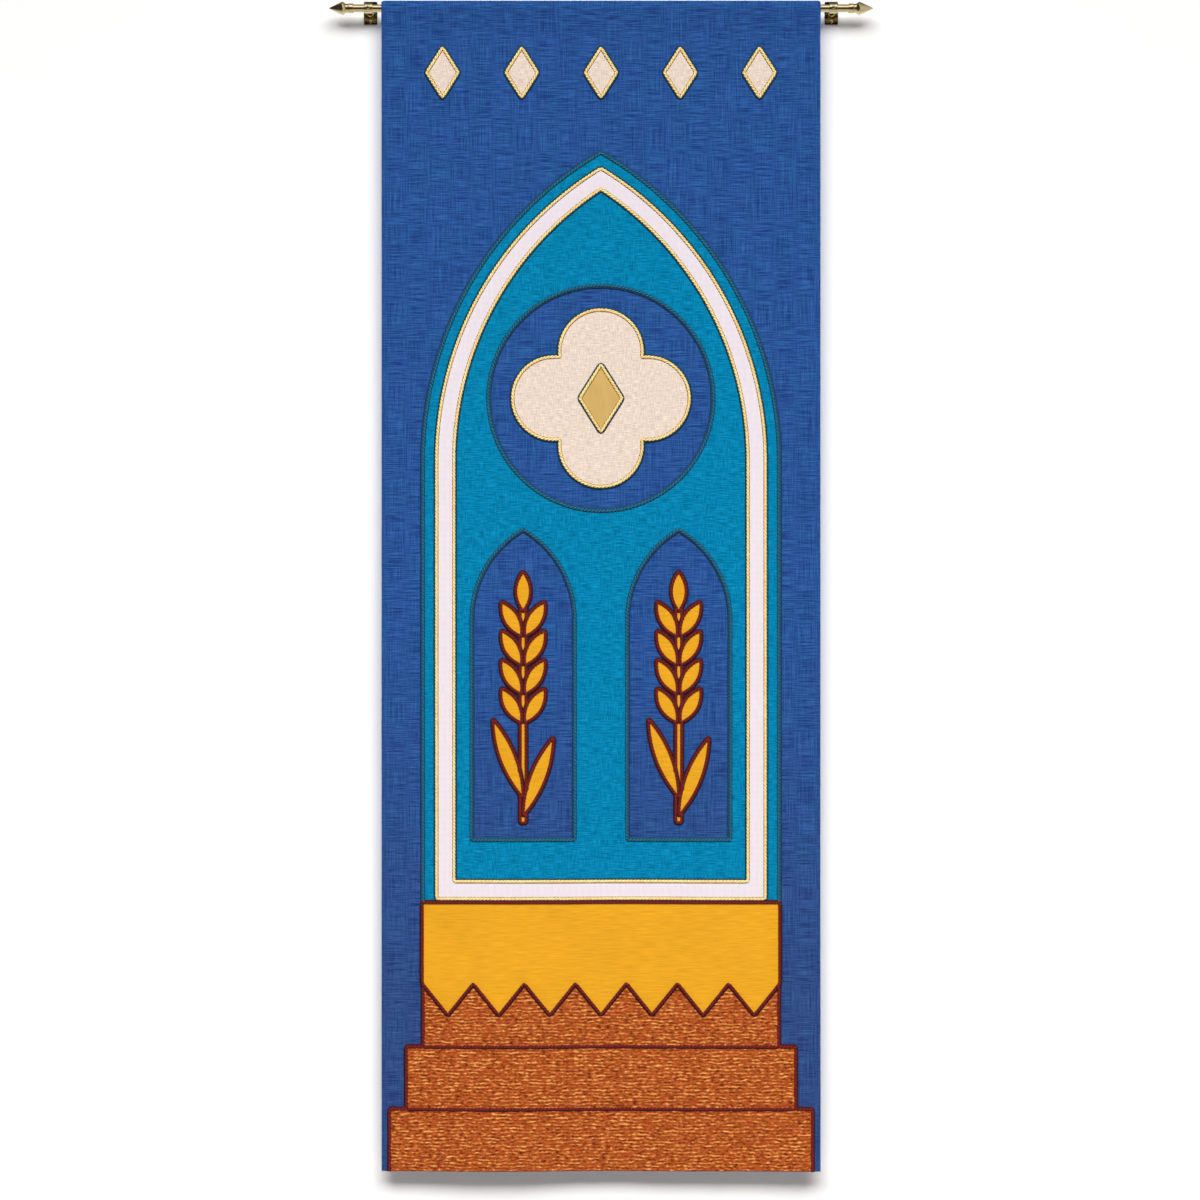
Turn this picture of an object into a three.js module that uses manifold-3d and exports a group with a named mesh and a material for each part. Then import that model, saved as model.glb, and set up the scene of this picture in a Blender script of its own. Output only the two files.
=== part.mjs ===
// A church banner that hangs by its own sleeve from a brass rod, and the two wall brackets that
// carry the rod. Millimetres, +Z up. The banner faces -Y and the wall is the plane y = 0. The
// origin is on the wall, at the rod's height, midway between the brackets.

import * as THREE from 'three';
import { mergeVertices } from 'three/addons/utils/BufferGeometryUtils.js';
import Module from 'manifold-3d';

const wasm = await Module();
wasm.setup();

// ---- Driving dimensions ----

const CLEARANCE = 0.3;

const ROD = { radius: 8, fromWall: 45, tipToTip: 1133 };

const CLOTH = {
  width: 914.4,
  height: 2438.4,
  thickness: 1.8,
  sideHem: 25,
  bottomHem: 45,
  hemLayer: 1.2,
  hemStep: 1.2,
  creaseAboveRod: 16,
  cornerRound: 4,
  sleeveDepth: 63,
  sleeveTurning: 11,
};

// The slow waves of the hanging cloth, full size at the hem and gone at the sleeve's stitching.
const WAVES = [
  { size: 3.2, alongX: 1 / 640, alongZ: 0, turn: 0.12 },
  { size: 1.6, alongX: 1 / 370, alongZ: -1 / 2600, turn: 0.4 },
  { size: 1.2, alongX: 0, alongZ: 1 / 980, turn: 0.1 },
];

const GRID = { column: 62, row: 125 };

// An applied piece lies a clearance in front of what carries it, and each layer in front of the last.
const APPLIED = { thickness: 1 };
const LAYER_PITCH = APPLIED.thickness + CLEARANCE;

const WINDOW = { halfWidth: 370, base: 540, spring: 1480 };
const LIGHT = { centre: 162, halfWidth: 108, sill: 690, spring: 1150 };
const OCULUS = { centre: 1610, radius: 235 };
const BAND = { outerInset: 28, innerInset: 64 };
const QUATREFOIL = { lobeCentre: 98, lobeRadius: 86 };
const CENTRE_LOZENGE = { halfWidth: 44, halfHeight: 70 };
const BORDER = { count: 5, pitch: 165, centre: 2288, halfWidth: 33, halfHeight: 52 };
const STEPS = [
  { name: 'step_low', halfWidth: 440, base: 0, top: 130 },
  { name: 'step_middle', halfWidth: 405, base: 130 + CLEARANCE, top: 260 },
  { name: 'step_top', halfWidth: 370, base: 260 + CLEARANCE, top: 400 },
];
const FRONTAL = { halfWidth: 372, base: 392, top: 560, points: 7, pointDrop: 66 };
const WHEAT = {
  foot: 726,
  stemTop: 1172,
  stemHalfWidth: 6,
  grainLength: 84,
  grainWidth: 31,
  grainTilt: 30,
  pairs: 4,
  firstPair: 934,
  pairPitch: 60,
  leafLength: 176,
  leafWidth: 32,
  leafTilt: 21,
  leafRoots: [{ side: 1, height: 740 }, { side: -1, height: 778 }],
};

const FINIAL = { collarRadius: 9.9, collar: 11.5, flare: 10, cone: 29, ridgeRadius: 13.8, socket: 11 };

const BRACKET = {
  centre: 484,
  plateWidth: 28,
  plateHeight: 48.5,
  plateThickness: 3,
  plateBevel: 0.8,
  cornerRadius: 2.5,
  footRadius: 8,
  footLength: 6,
  postRadius: 5,
  ringRadius: 10.6,
  ringWidth: 17,
  ringBevel: 0.8,
  screwHeight: 17.5,
};
const SCREW = { headRadius: 3.7, headHeight: 2.1, shankRadius: 1.8, holeRadius: 2.1 };

const ROUND_SIDES = 28;
const SCREW_SIDES = 12;
const ARC_STEPS = 14;
const BLADE_STEPS = 6;

// ---- Heights that follow ----

const CLOTH_Y = -ROD.fromWall;
const HALF_CLOTH = CLOTH.width / 2;
const TOP_Z = CLOTH.creaseAboveRod;
const HEM_Z = TOP_Z - CLOTH.height;
const SLEEVE_STITCH_Z = TOP_Z - CLOTH.sleeveDepth;
const TURNING_END_Z = SLEEVE_STITCH_Z - CLOTH.sleeveTurning;
const HALF_THICKNESS = CLOTH.thickness / 2;
const SLEEVE_INNER_RADIUS = ROD.radius + CLEARANCE;
const SLEEVE_OUTER_RADIUS = SLEEVE_INNER_RADIUS + CLOTH.thickness;

// Where the sleeve's flat faces would meet above and below the rod, outside and inside the cloth.
const CREASE_HALF_ANGLE = Math.asin(SLEEVE_OUTER_RADIUS / TOP_Z);
const OUTER_HULL = {
  radius: SLEEVE_OUTER_RADIUS,
  above: TOP_Z,
  below: -SLEEVE_STITCH_Z + 4.4,
};
const INNER_HULL = {
  radius: SLEEVE_INNER_RADIUS,
  above: TOP_Z - CLOTH.thickness / Math.sin(CREASE_HALF_ANGLE),
  below: -SLEEVE_STITCH_Z - 4,
};

// ---- Solids from meshes ----

// Points that meet are merged, and a triangle that this closes up is left out.
function toManifold(geometry) {
  const bare = geometry.clone();
  bare.deleteAttribute('normal');
  bare.deleteAttribute('uv');
  const merged = mergeVertices(bare, 1e-4);
  const index = merged.index.array;
  const triangles = [];
  for (let i = 0; i < index.length; i += 3) {
    const [a, b, c] = index.subarray(i, i + 3);
    if (a !== b && b !== c && c !== a) triangles.push(a, b, c);
  }
  return new wasm.Manifold(new wasm.Mesh({
    numProp: 3,
    vertProperties: new Float32Array(merged.attributes.position.array),
    triVerts: new Uint32Array(triangles),
  }));
}

function toGeometry(manifold) {
  const mesh = manifold.getMesh();
  const geometry = new THREE.BufferGeometry();
  geometry.setAttribute('position', new THREE.BufferAttribute(mesh.vertProperties, 3));
  geometry.setIndex(new THREE.BufferAttribute(mesh.triVerts, 1));
  return geometry;
}

// ---- The hanging cloth ----

function wave(x, z) {
  const drop = THREE.MathUtils.clamp((SLEEVE_STITCH_Z - z) / (SLEEVE_STITCH_Z - HEM_Z), 0, 1);
  const sum = WAVES.reduce(
    (total, w) => total + w.size * Math.sin(2 * Math.PI * (x * w.alongX + z * w.alongZ + w.turn)),
    0,
  );
  return Math.sqrt(drop) * sum;
}

// Half the depth, at height z, of a band stretched round the rod and drawn to a line above and below.
function hullHalfDepth(hull, z) {
  if (z >= hull.above || z <= -hull.below) return 0;
  const upperTouch = hull.radius ** 2 / hull.above;
  const lowerTouch = -(hull.radius ** 2) / hull.below;
  if (z > upperTouch) return (hull.above - z) * Math.tan(Math.asin(hull.radius / hull.above));
  if (z < lowerTouch) return (z + hull.below) * Math.tan(Math.asin(hull.radius / hull.below));
  return Math.sqrt(hull.radius ** 2 - z ** 2);
}

function clothFront(x, z) {
  return CLOTH_Y + wave(x, z) - Math.max(HALF_THICKNESS, hullHalfDepth(OUTER_HULL, z));
}

function clothBack(x, z) {
  const inHem = Math.abs(x) >= HALF_CLOTH - CLOTH.sideHem || z <= HEM_Z + CLOTH.bottomHem;
  const inTurning = z >= TURNING_END_Z && z <= SLEEVE_STITCH_Z;
  const folded = inHem || inTurning ? CLOTH.hemLayer : 0;
  const flat = HALF_THICKNESS + (z > SLEEVE_STITCH_Z ? 0 : folded);
  return CLOTH_Y + wave(x, z) + Math.max(flat, hullHalfDepth(OUTER_HULL, z));
}

// Even stations from low to high, no further apart than the pitch, and both ends.
function evenStations(low, high, pitch) {
  const count = Math.ceil((high - low) / pitch);
  return Array.from({ length: count + 1 }, (_, i) => low + ((high - low) * i) / count);
}

function clothColumns() {
  const hemEdge = HALF_CLOTH - CLOTH.sideHem;
  const inner = evenStations(-(hemEdge - CLOTH.hemStep), hemEdge - CLOTH.hemStep, GRID.column);
  return [-HALF_CLOTH, -hemEdge, ...inner, hemEdge, HALF_CLOTH];
}

function clothRows() {
  const hemEdge = HEM_Z + CLOTH.bottomHem;
  const body = evenStations(hemEdge + CLOTH.hemStep, TURNING_END_Z - CLOTH.hemStep, GRID.row);
  return [HEM_Z, hemEdge, ...body, TURNING_END_Z, SLEEVE_STITCH_Z];
}

function sleeveRows() {
  const upperTouch = OUTER_HULL.radius ** 2 / OUTER_HULL.above;
  const lowerTouch = -(OUTER_HULL.radius ** 2) / OUTER_HULL.below;
  const round = evenStations(lowerTouch, upperTouch, 3);
  return [SLEEVE_STITCH_Z + 1, ...round, TOP_Z - CLOTH.cornerRound, TOP_Z - 1.3];
}

// A closed sheet on a grid of columns (x) and rows (z), between a front and a back surface.
// Both faces of each cell are split along the same diagonal, so sheets on one grid lie parallel.
function sheet(columns, rows, front, back, narrowing = () => 1) {
  const positions = [];
  for (const surface of [front, back]) {
    for (const z of rows) {
      for (const x of columns) positions.push(x * narrowing(z), surface(x, z), z);
    }
  }
  const faceSize = columns.length * rows.length;
  const at = (face, row, column) => face * faceSize + row * columns.length + column;
  const triangles = [];
  const quad = (a, b, c, d) => triangles.push(a, b, c, a, c, d);
  const lastRow = rows.length - 1;
  const lastColumn = columns.length - 1;
  for (let r = 0; r < lastRow; r++) {
    for (let c = 0; c < lastColumn; c++) {
      quad(at(0, r, c), at(0, r, c + 1), at(0, r + 1, c + 1), at(0, r + 1, c));
      triangles.push(at(1, r, c), at(1, r + 1, c + 1), at(1, r, c + 1));
      triangles.push(at(1, r, c), at(1, r + 1, c), at(1, r + 1, c + 1));
    }
    quad(at(1, r, 0), at(0, r, 0), at(0, r + 1, 0), at(1, r + 1, 0));
    quad(at(0, r, lastColumn), at(1, r, lastColumn), at(1, r + 1, lastColumn), at(0, r + 1, lastColumn));
  }
  for (let c = 0; c < lastColumn; c++) {
    quad(at(1, 0, c), at(1, 0, c + 1), at(0, 0, c + 1), at(0, 0, c));
    quad(at(0, lastRow, c), at(0, lastRow, c + 1), at(1, lastRow, c + 1), at(1, lastRow, c));
  }
  const geometry = new THREE.BufferGeometry();
  geometry.setAttribute('position', new THREE.Float32BufferAttribute(positions, 3));
  geometry.setIndex(triangles);
  return geometry;
}

// The top corners are a little rounded where the crease meets the side edges.
function cornerNarrowing(z) {
  const rise = Math.max(0, z - (TOP_Z - CLOTH.cornerRound));
  const inset = CLOTH.cornerRound - Math.sqrt(CLOTH.cornerRound ** 2 - rise ** 2);
  return (HALF_CLOTH - inset) / HALF_CLOTH;
}

// The hollow of the sleeve, a prism along X that the rod passes through.
function sleeveHollow() {
  const upper = Math.acos(INNER_HULL.radius / INNER_HULL.above);
  const lower = Math.acos(INNER_HULL.radius / INNER_HULL.below);
  const outline = new THREE.Shape();
  outline.absarc(0, 0, INNER_HULL.radius, Math.PI / 2 + upper, (3 * Math.PI) / 2 - lower, false);
  outline.lineTo(0, -INNER_HULL.below);
  outline.absarc(0, 0, INNER_HULL.radius, -Math.PI / 2 + lower, Math.PI / 2 - upper, false);
  outline.lineTo(0, INNER_HULL.above);
  outline.closePath();
  const length = CLOTH.width + 20;
  const prism = new THREE.ExtrudeGeometry(outline, { depth: length, bevelEnabled: false, curveSegments: 8 });
  prism.rotateX(Math.PI / 2);
  prism.rotateZ(Math.PI / 2);
  return prism.translate(-length / 2, CLOTH_Y, 0);
}

function bannerCloth() {
  const rows = [...clothRows(), ...sleeveRows(), TOP_Z];
  const whole = toManifold(sheet(clothColumns(), rows, clothFront, clothBack, cornerNarrowing));
  return toGeometry(whole.subtract(toManifold(sleeveHollow())));
}

// ---- Outlines of the applied pieces: x across, y the height above the hem ----

// A pointed arch struck from the opposite springing points, drawn in by the inset.
function lancet(centre, halfWidth, base, spring, inset = 0) {
  const radius = 2 * halfWidth - inset;
  const apexTurn = Math.acos(halfWidth / radius);
  const shape = new THREE.Shape();
  shape.moveTo(centre - halfWidth + inset, base);
  shape.lineTo(centre + halfWidth - inset, base);
  shape.absarc(centre - halfWidth, spring, radius, 0, apexTurn, false);
  shape.absarc(centre + halfWidth, spring, radius, Math.PI - apexTurn, Math.PI, false);
  shape.closePath();
  return shape;
}

function lozenge(x, y, halfWidth, halfHeight) {
  return polygon([[x, y - halfHeight], [x + halfWidth, y], [x, y + halfHeight], [x - halfWidth, y]]);
}

function polygon(points) {
  return new THREE.Shape(points.map(([x, y]) => new THREE.Vector2(x, y)));
}

function windowOutline() {
  return lancet(0, WINDOW.halfWidth, WINDOW.base, WINDOW.spring);
}

// The openings that the blue ground shows through: two lights and the round above them.
function windowOpenings() {
  const { centre, halfWidth, sill, spring } = LIGHT;
  const lights = [-1, 1].map((side) => lancet(side * centre, halfWidth, sill, spring));
  const round = new THREE.Shape();
  round.absarc(0, OCULUS.centre, OCULUS.radius, 0, 2 * Math.PI, false);
  return [...lights, round];
}

function bandOutline(inset) {
  const base = WINDOW.base + inset;
  return lancet(0, WINDOW.halfWidth, base, WINDOW.spring, inset);
}

function quatrefoilOutline() {
  const { lobeCentre, lobeRadius } = QUATREFOIL;
  const cusp = (lobeCentre + Math.sqrt(2 * lobeRadius ** 2 - lobeCentre ** 2)) / 2;
  const sweep = Math.atan2(cusp, cusp - lobeCentre);
  const shape = new THREE.Shape();
  for (let lobe = 0; lobe < 4; lobe++) {
    const turn = (lobe * Math.PI) / 2;
    const x = lobeCentre * Math.cos(turn);
    const y = OCULUS.centre + lobeCentre * Math.sin(turn);
    shape.absarc(x, y, lobeRadius, turn - sweep, turn + sweep, false);
  }
  shape.closePath();
  return shape;
}

function centreOutline() {
  return lozenge(0, OCULUS.centre, CENTRE_LOZENGE.halfWidth, CENTRE_LOZENGE.halfHeight);
}

function borderOutlines() {
  const { count, pitch, centre, halfWidth, halfHeight } = BORDER;
  const places = Array.from({ length: count }, (_, i) => (i - (count - 1) / 2) * pitch);
  return places.map((x) => lozenge(x, centre, halfWidth, halfHeight));
}

function frontalOutline() {
  const { halfWidth, base, top, points, pointDrop } = FRONTAL;
  const pointWidth = (2 * halfWidth) / points;
  const lower = [];
  for (let i = 0; i < points; i++) {
    lower.push([-halfWidth + i * pointWidth, base]);
    lower.push([-halfWidth + (i + 0.5) * pointWidth, base - pointDrop]);
  }
  return polygon([...lower, [halfWidth, base], [halfWidth, top], [-halfWidth, top]]);
}

function stepOutline({ halfWidth, base, top }) {
  return polygon([[-halfWidth, base], [halfWidth, base], [halfWidth, top], [-halfWidth, top]]);
}

// A leaf or grain, pointed at both ends, that stands on its root and leans to one side.
function blade(x, y, length, width, tilt) {
  const lean = THREE.MathUtils.degToRad(tilt);
  const across = new THREE.Vector2(Math.cos(lean), -Math.sin(lean));
  const along = new THREE.Vector2(Math.sin(lean), Math.cos(lean));
  const root = new THREE.Vector2(x, y);
  const tip = root.clone().addScaledVector(along, length);
  const middle = root.clone().addScaledVector(along, length / 2);
  const right = middle.clone().addScaledVector(across, width);
  const left = middle.clone().addScaledVector(across, -width);
  const shape = new THREE.Shape();
  shape.moveTo(root.x, root.y);
  shape.quadraticCurveTo(right.x, right.y, tip.x, tip.y);
  shape.quadraticCurveTo(left.x, left.y, root.x, root.y);
  return shape;
}

function wheatOutlines(centre) {
  const { foot, stemTop, stemHalfWidth: half } = WHEAT;
  const outlines = [polygon([
    [centre - half, foot], [centre + half, foot], [centre + half, stemTop], [centre - half, stemTop],
  ])];
  for (const { side, height } of WHEAT.leafRoots) {
    outlines.push(blade(centre, height, WHEAT.leafLength, WHEAT.leafWidth, side * WHEAT.leafTilt));
  }
  for (let pair = 0; pair < WHEAT.pairs; pair++) {
    const height = WHEAT.firstPair + pair * WHEAT.pairPitch;
    for (const side of [-1, 1]) {
      const { grainLength, grainWidth, grainTilt } = WHEAT;
      outlines.push(blade(centre + side * half * 0.6, height, grainLength, grainWidth, side * grainTilt));
    }
  }
  outlines.push(blade(centre, stemTop - half, WHEAT.grainLength, WHEAT.grainWidth, 0));
  return outlines;
}

// ---- Applied pieces, each cut from a thin sheet that follows the cloth ----

function layerSheet(layer) {
  const offset = CLEARANCE + layer * LAYER_PITCH;
  const back = (x, z) => clothFront(x, z) - offset;
  const front = (x, z) => back(x, z) - APPLIED.thickness;
  return toManifold(sheet(clothColumns(), clothRows(), front, back));
}

const LAYERS = [layerSheet(0), layerSheet(1)];

// An outline's points, without those that fall together where two arcs meet.
function distinctPoints(points) {
  return points.filter((point, i) => point.distanceTo(points.at(i - 1)) > 1e-3);
}

function cutter(outline, curveSteps) {
  const points = distinctPoints(outline.extractPoints(curveSteps).shape);
  const depth = 60;
  const prism = new THREE.ExtrudeGeometry(new THREE.Shape(points), { depth, bevelEnabled: false });
  prism.rotateX(Math.PI / 2);
  return toManifold(prism.translate(0, CLOTH_Y + depth / 2, HEM_Z));
}

function applied(layer, outlines, openings = [], curveSteps = ARC_STEPS) {
  let cut = cutter(outlines[0], curveSteps);
  for (const outline of outlines.slice(1)) cut = cut.add(cutter(outline, curveSteps));
  for (const opening of openings) cut = cut.subtract(cutter(opening, curveSteps));
  return toGeometry(LAYERS[layer].intersect(cut));
}

// ---- Brass ----

// Turned work about the X axis: the profile's height runs along +X from x = 0.
function turned(profile, sides = ROUND_SIDES) {
  const points = profile.map(([radius, along]) => new THREE.Vector2(radius, along));
  return new THREE.LatheGeometry(points, sides).rotateZ(-Math.PI / 2);
}

// Turned work that points along -Y, out from the wall.
function turnedOutward(profile, sides = ROUND_SIDES) {
  return turned(profile, sides).rotateZ(-Math.PI / 2);
}

function rodGeometry() {
  const ends = FINIAL.collar + FINIAL.flare + FINIAL.cone - FINIAL.socket + CLEARANCE;
  const half = ROD.tipToTip / 2 - ends;
  const edge = 0.6;
  return turned([
    [0, -half], [ROD.radius - edge, -half], [ROD.radius, -half + edge],
    [ROD.radius, half - edge], [ROD.radius - edge, half], [0, half],
  ]).translate(0, CLOTH_Y, 0);
}

// A spearhead finial: a collar that slips over the rod, a hollowed flare, a sharp ridge and a cone.
function finialGeometry(side) {
  const { collarRadius, collar, flare, cone, ridgeRadius, socket } = FINIAL;
  const bore = ROD.radius + CLEARANCE;
  const edge = 0.6;
  const ridge = collar + flare;
  const flareSteps = [0.35, 0.65, 0.88].map((t) => [
    collarRadius - 0.8 + (ridgeRadius - collarRadius + 0.8) * t ** 2.2,
    collar + flare * t,
  ]);
  const profile = [
    [0, socket], [bore, socket], [bore, 0], [collarRadius - edge, 0], [collarRadius, edge],
    [collarRadius, collar - 1.2], [collarRadius - 0.8, collar],
    ...flareSteps,
    [ridgeRadius, ridge - 0.3], [ridgeRadius, ridge + 0.3],
    [ridgeRadius * 0.55, ridge + cone * 0.49], [1.1, ridge + cone - 1.2], [0, ridge + cone],
  ];
  const inner = ROD.tipToTip / 2 - (ridge + cone);
  const geometry = turned(profile).translate(inner, 0, 0);
  if (side < 0) geometry.rotateZ(Math.PI);
  return geometry.translate(0, CLOTH_Y, 0);
}

function platePrism() {
  const { plateWidth, plateHeight, plateThickness, plateBevel, cornerRadius } = BRACKET;
  const x = plateWidth / 2 - plateBevel;
  const z = plateHeight / 2 - plateBevel;
  const r = cornerRadius - plateBevel;
  const outline = new THREE.Shape();
  outline.absarc(x - r, z - r, r, 0, Math.PI / 2, false);
  outline.absarc(-x + r, z - r, r, Math.PI / 2, Math.PI, false);
  outline.absarc(-x + r, -z + r, r, Math.PI, (3 * Math.PI) / 2, false);
  outline.absarc(x - r, -z + r, r, (3 * Math.PI) / 2, 2 * Math.PI, false);
  const slab = new THREE.ExtrudeGeometry(outline, {
    depth: plateThickness,
    bevelThickness: plateBevel,
    bevelSize: plateBevel,
    bevelSegments: 2,
    curveSegments: 4,
  });
  const wallCut = new THREE.BoxGeometry(plateWidth * 2, plateThickness * 2, plateHeight * 2);
  const raised = toManifold(slab.rotateX(Math.PI / 2).translate(0, plateBevel, 0));
  return raised.subtract(toManifold(wallCut.translate(0, plateThickness, 0)));
}

// The wall plate, the post that stands out from it and the ring that holds the rod, cast in one.
function bracketGeometry(side) {
  const { postRadius, footRadius, footLength, ringRadius, ringWidth, ringBevel } = BRACKET;
  const ringEdge = ringRadius - ringBevel;
  const ringHalf = ringWidth / 2;
  const post = turnedOutward([
    [0, 1.5], [footRadius, 1.5], [footRadius, BRACKET.plateThickness + 1],
    [postRadius + 0.8, footLength], [postRadius, footLength + 2],
    [postRadius, ROD.fromWall - ringRadius + 1.5], [0, ROD.fromWall - ringRadius + 1.5],
  ], 24);
  const ring = turned([
    [0, -ringHalf], [ringEdge, -ringHalf], [ringRadius, -ringHalf + ringBevel],
    [ringRadius, ringHalf - ringBevel], [ringEdge, ringHalf], [0, ringHalf],
  ]);
  const bore = turned([
    [0, -ringWidth], [SLEEVE_INNER_RADIUS, -ringWidth], [SLEEVE_INNER_RADIUS, ringWidth], [0, ringWidth],
  ]);
  const setHole = turnedOutward([
    [0, ROD.fromWall + 4], [SCREW.holeRadius, ROD.fromWall + 4],
    [SCREW.holeRadius, ROD.fromWall + 20], [0, ROD.fromWall + 20],
  ], SCREW_SIDES);
  let body = platePrism().add(toManifold(post));
  body = body.add(toManifold(ring.translate(0, CLOTH_Y, 0)));
  body = body.subtract(toManifold(bore.translate(0, CLOTH_Y, 0))).subtract(toManifold(setHole));
  for (const height of [-BRACKET.screwHeight, BRACKET.screwHeight]) {
    const hole = turnedOutward([
      [0, -2], [SCREW.holeRadius, -2], [SCREW.holeRadius, 10], [0, 10],
    ], SCREW_SIDES);
    body = body.subtract(toManifold(hole.translate(0, 0, height)));
  }
  return toGeometry(body).translate(side * BRACKET.centre, 0, 0);
}

// A round-headed screw: its head starts at the seat, and its shank runs back to the tip.
function screwGeometry(seat, tip) {
  const { headRadius, headHeight, shankRadius } = SCREW;
  return turnedOutward([
    [0, tip], [shankRadius, tip], [shankRadius, seat], [headRadius, seat], [headRadius, seat + 0.5],
    [headRadius * 0.82, seat + headHeight * 0.7], [headRadius * 0.4, seat + headHeight],
    [0, seat + headHeight],
  ], SCREW_SIDES);
}

function plateScrewGeometry(side, height) {
  return screwGeometry(BRACKET.plateThickness + CLEARANCE, 0.4)
    .translate(side * BRACKET.centre, 0, height);
}

function setScrewGeometry(side) {
  const seat = ROD.fromWall + BRACKET.ringRadius + CLEARANCE;
  return screwGeometry(seat, ROD.fromWall + ROD.radius + CLEARANCE)
    .translate(side * BRACKET.centre, 0, 0);
}

// ---- Materials ----

function cloth(color) {
  return new THREE.MeshStandardMaterial({ color, roughness: 0.9, metalness: 0 });
}

const MATERIALS = {
  blueLinen: cloth(0x2c5192),
  turquoiseLinen: cloth(0x0585b0),
  whiteBrocade: cloth(0xf2e4e8),
  creamLinen: cloth(0xf0ddce),
  ochreSatin: cloth(0xd9b46e),
  goldenRep: cloth(0xf2b02a),
  rustTweed: cloth(0xb45a2b),
  brass: new THREE.MeshStandardMaterial({ color: 0xd9bf77, roughness: 0.18, metalness: 1 }),
};

// ---- The banner ----

const banner = new THREE.Group();

function addPiece(name, geometry, material) {
  const mesh = new THREE.Mesh(geometry, material);
  mesh.name = name;
  banner.add(mesh);
}

addPiece('banner_cloth', bannerCloth(), MATERIALS.blueLinen);
addPiece('window_panel', applied(0, [windowOutline()], windowOpenings()), MATERIALS.turquoiseLinen);
addPiece('window_band', applied(1, [bandOutline(BAND.outerInset)], [bandOutline(BAND.innerInset)]),
  MATERIALS.whiteBrocade);
addPiece('quatrefoil', applied(0, [quatrefoilOutline()]), MATERIALS.creamLinen);
addPiece('quatrefoil_centre', applied(1, [centreOutline()]), MATERIALS.ochreSatin);
for (const [label, side] of [['left', -1], ['right', 1]]) {
  const stalk = applied(0, wheatOutlines(side * LIGHT.centre), [], BLADE_STEPS);
  addPiece(`wheat_${label}`, stalk, MATERIALS.goldenRep);
}
addPiece('frontal', applied(1, [frontalOutline()]), MATERIALS.goldenRep);
for (const step of STEPS) addPiece(step.name, applied(0, [stepOutline(step)]), MATERIALS.rustTweed);
borderOutlines().forEach((outline, i) => {
  addPiece(`border_lozenge_${i + 1}`, applied(0, [outline]), MATERIALS.creamLinen);
});

addPiece('rod', rodGeometry(), MATERIALS.brass);
for (const [label, side] of [['left', -1], ['right', 1]]) {
  addPiece(`finial_${label}`, finialGeometry(side), MATERIALS.brass);
  addPiece(`bracket_${label}`, bracketGeometry(side), MATERIALS.brass);
  addPiece(`set_screw_${label}`, setScrewGeometry(side), MATERIALS.brass);
  addPiece(`plate_screw_${label}_upper`, plateScrewGeometry(side, BRACKET.screwHeight), MATERIALS.brass);
  addPiece(`plate_screw_${label}_lower`, plateScrewGeometry(side, -BRACKET.screwHeight), MATERIALS.brass);
}

export default banner;
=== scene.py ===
import math

import bmesh
import bpy
import numpy as np
from bpy.props import FloatProperty, FloatVectorProperty, IntProperty, PointerProperty
from mathutils import Matrix, Vector
from mathutils.geometry import delaunay_2d_cdt


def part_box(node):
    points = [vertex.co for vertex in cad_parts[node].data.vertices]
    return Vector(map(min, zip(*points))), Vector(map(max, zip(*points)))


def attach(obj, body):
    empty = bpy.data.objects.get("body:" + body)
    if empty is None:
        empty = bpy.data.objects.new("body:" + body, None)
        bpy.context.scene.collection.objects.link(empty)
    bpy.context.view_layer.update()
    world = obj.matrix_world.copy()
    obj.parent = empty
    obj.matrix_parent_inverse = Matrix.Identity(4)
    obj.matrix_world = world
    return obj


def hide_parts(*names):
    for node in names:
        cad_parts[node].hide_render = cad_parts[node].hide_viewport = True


# A church banner: one blue linen cloth with applied pieces in corded outlines. It hangs by its own
# sleeve from a brass rod in two wall brackets. Metres, +Z up. The banner faces -Y, and the wall is
# the plane y = 0. A piece is laid out flat first, as (across, height above the hem, relief), and
# hang() then puts it where the hanging cloth carries it.

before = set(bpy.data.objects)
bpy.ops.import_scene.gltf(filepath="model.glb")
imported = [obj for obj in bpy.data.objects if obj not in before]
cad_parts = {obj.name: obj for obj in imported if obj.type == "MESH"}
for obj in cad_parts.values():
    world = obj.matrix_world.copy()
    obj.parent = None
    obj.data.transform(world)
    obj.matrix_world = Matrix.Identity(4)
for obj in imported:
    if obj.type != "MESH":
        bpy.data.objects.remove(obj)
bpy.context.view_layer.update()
CLOTH_LOW, CLOTH_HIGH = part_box("banner_cloth")
ROD_LOW, ROD_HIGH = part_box("rod")
TIP_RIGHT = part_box("finial_right")[1].x
BRACKET_LOW, BRACKET_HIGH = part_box("bracket_right")

bl_info = {
    "name": "Church banner",
    "version": (1, 0, 0),
    "blender": (4, 5, 0),
    "location": "3D View > Sidebar > Church banner",
    "description": "Makes an applied cloth banner on a brass rod with wall brackets",
    "category": "Add Mesh",
}

MM = 0.001


# ---- Settings ----

def number(name, description, default, **more):
    return FloatProperty(name=name, description=description, default=default, **more)


def size(name, description, default):
    return number(name, description, default, min=0.0, precision=5, unit="LENGTH")


def colour(name, description, default):
    return FloatVectorProperty(
        name=name, description=description, default=default, min=0.0, max=1.0, subtype="COLOR",
    )


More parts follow.
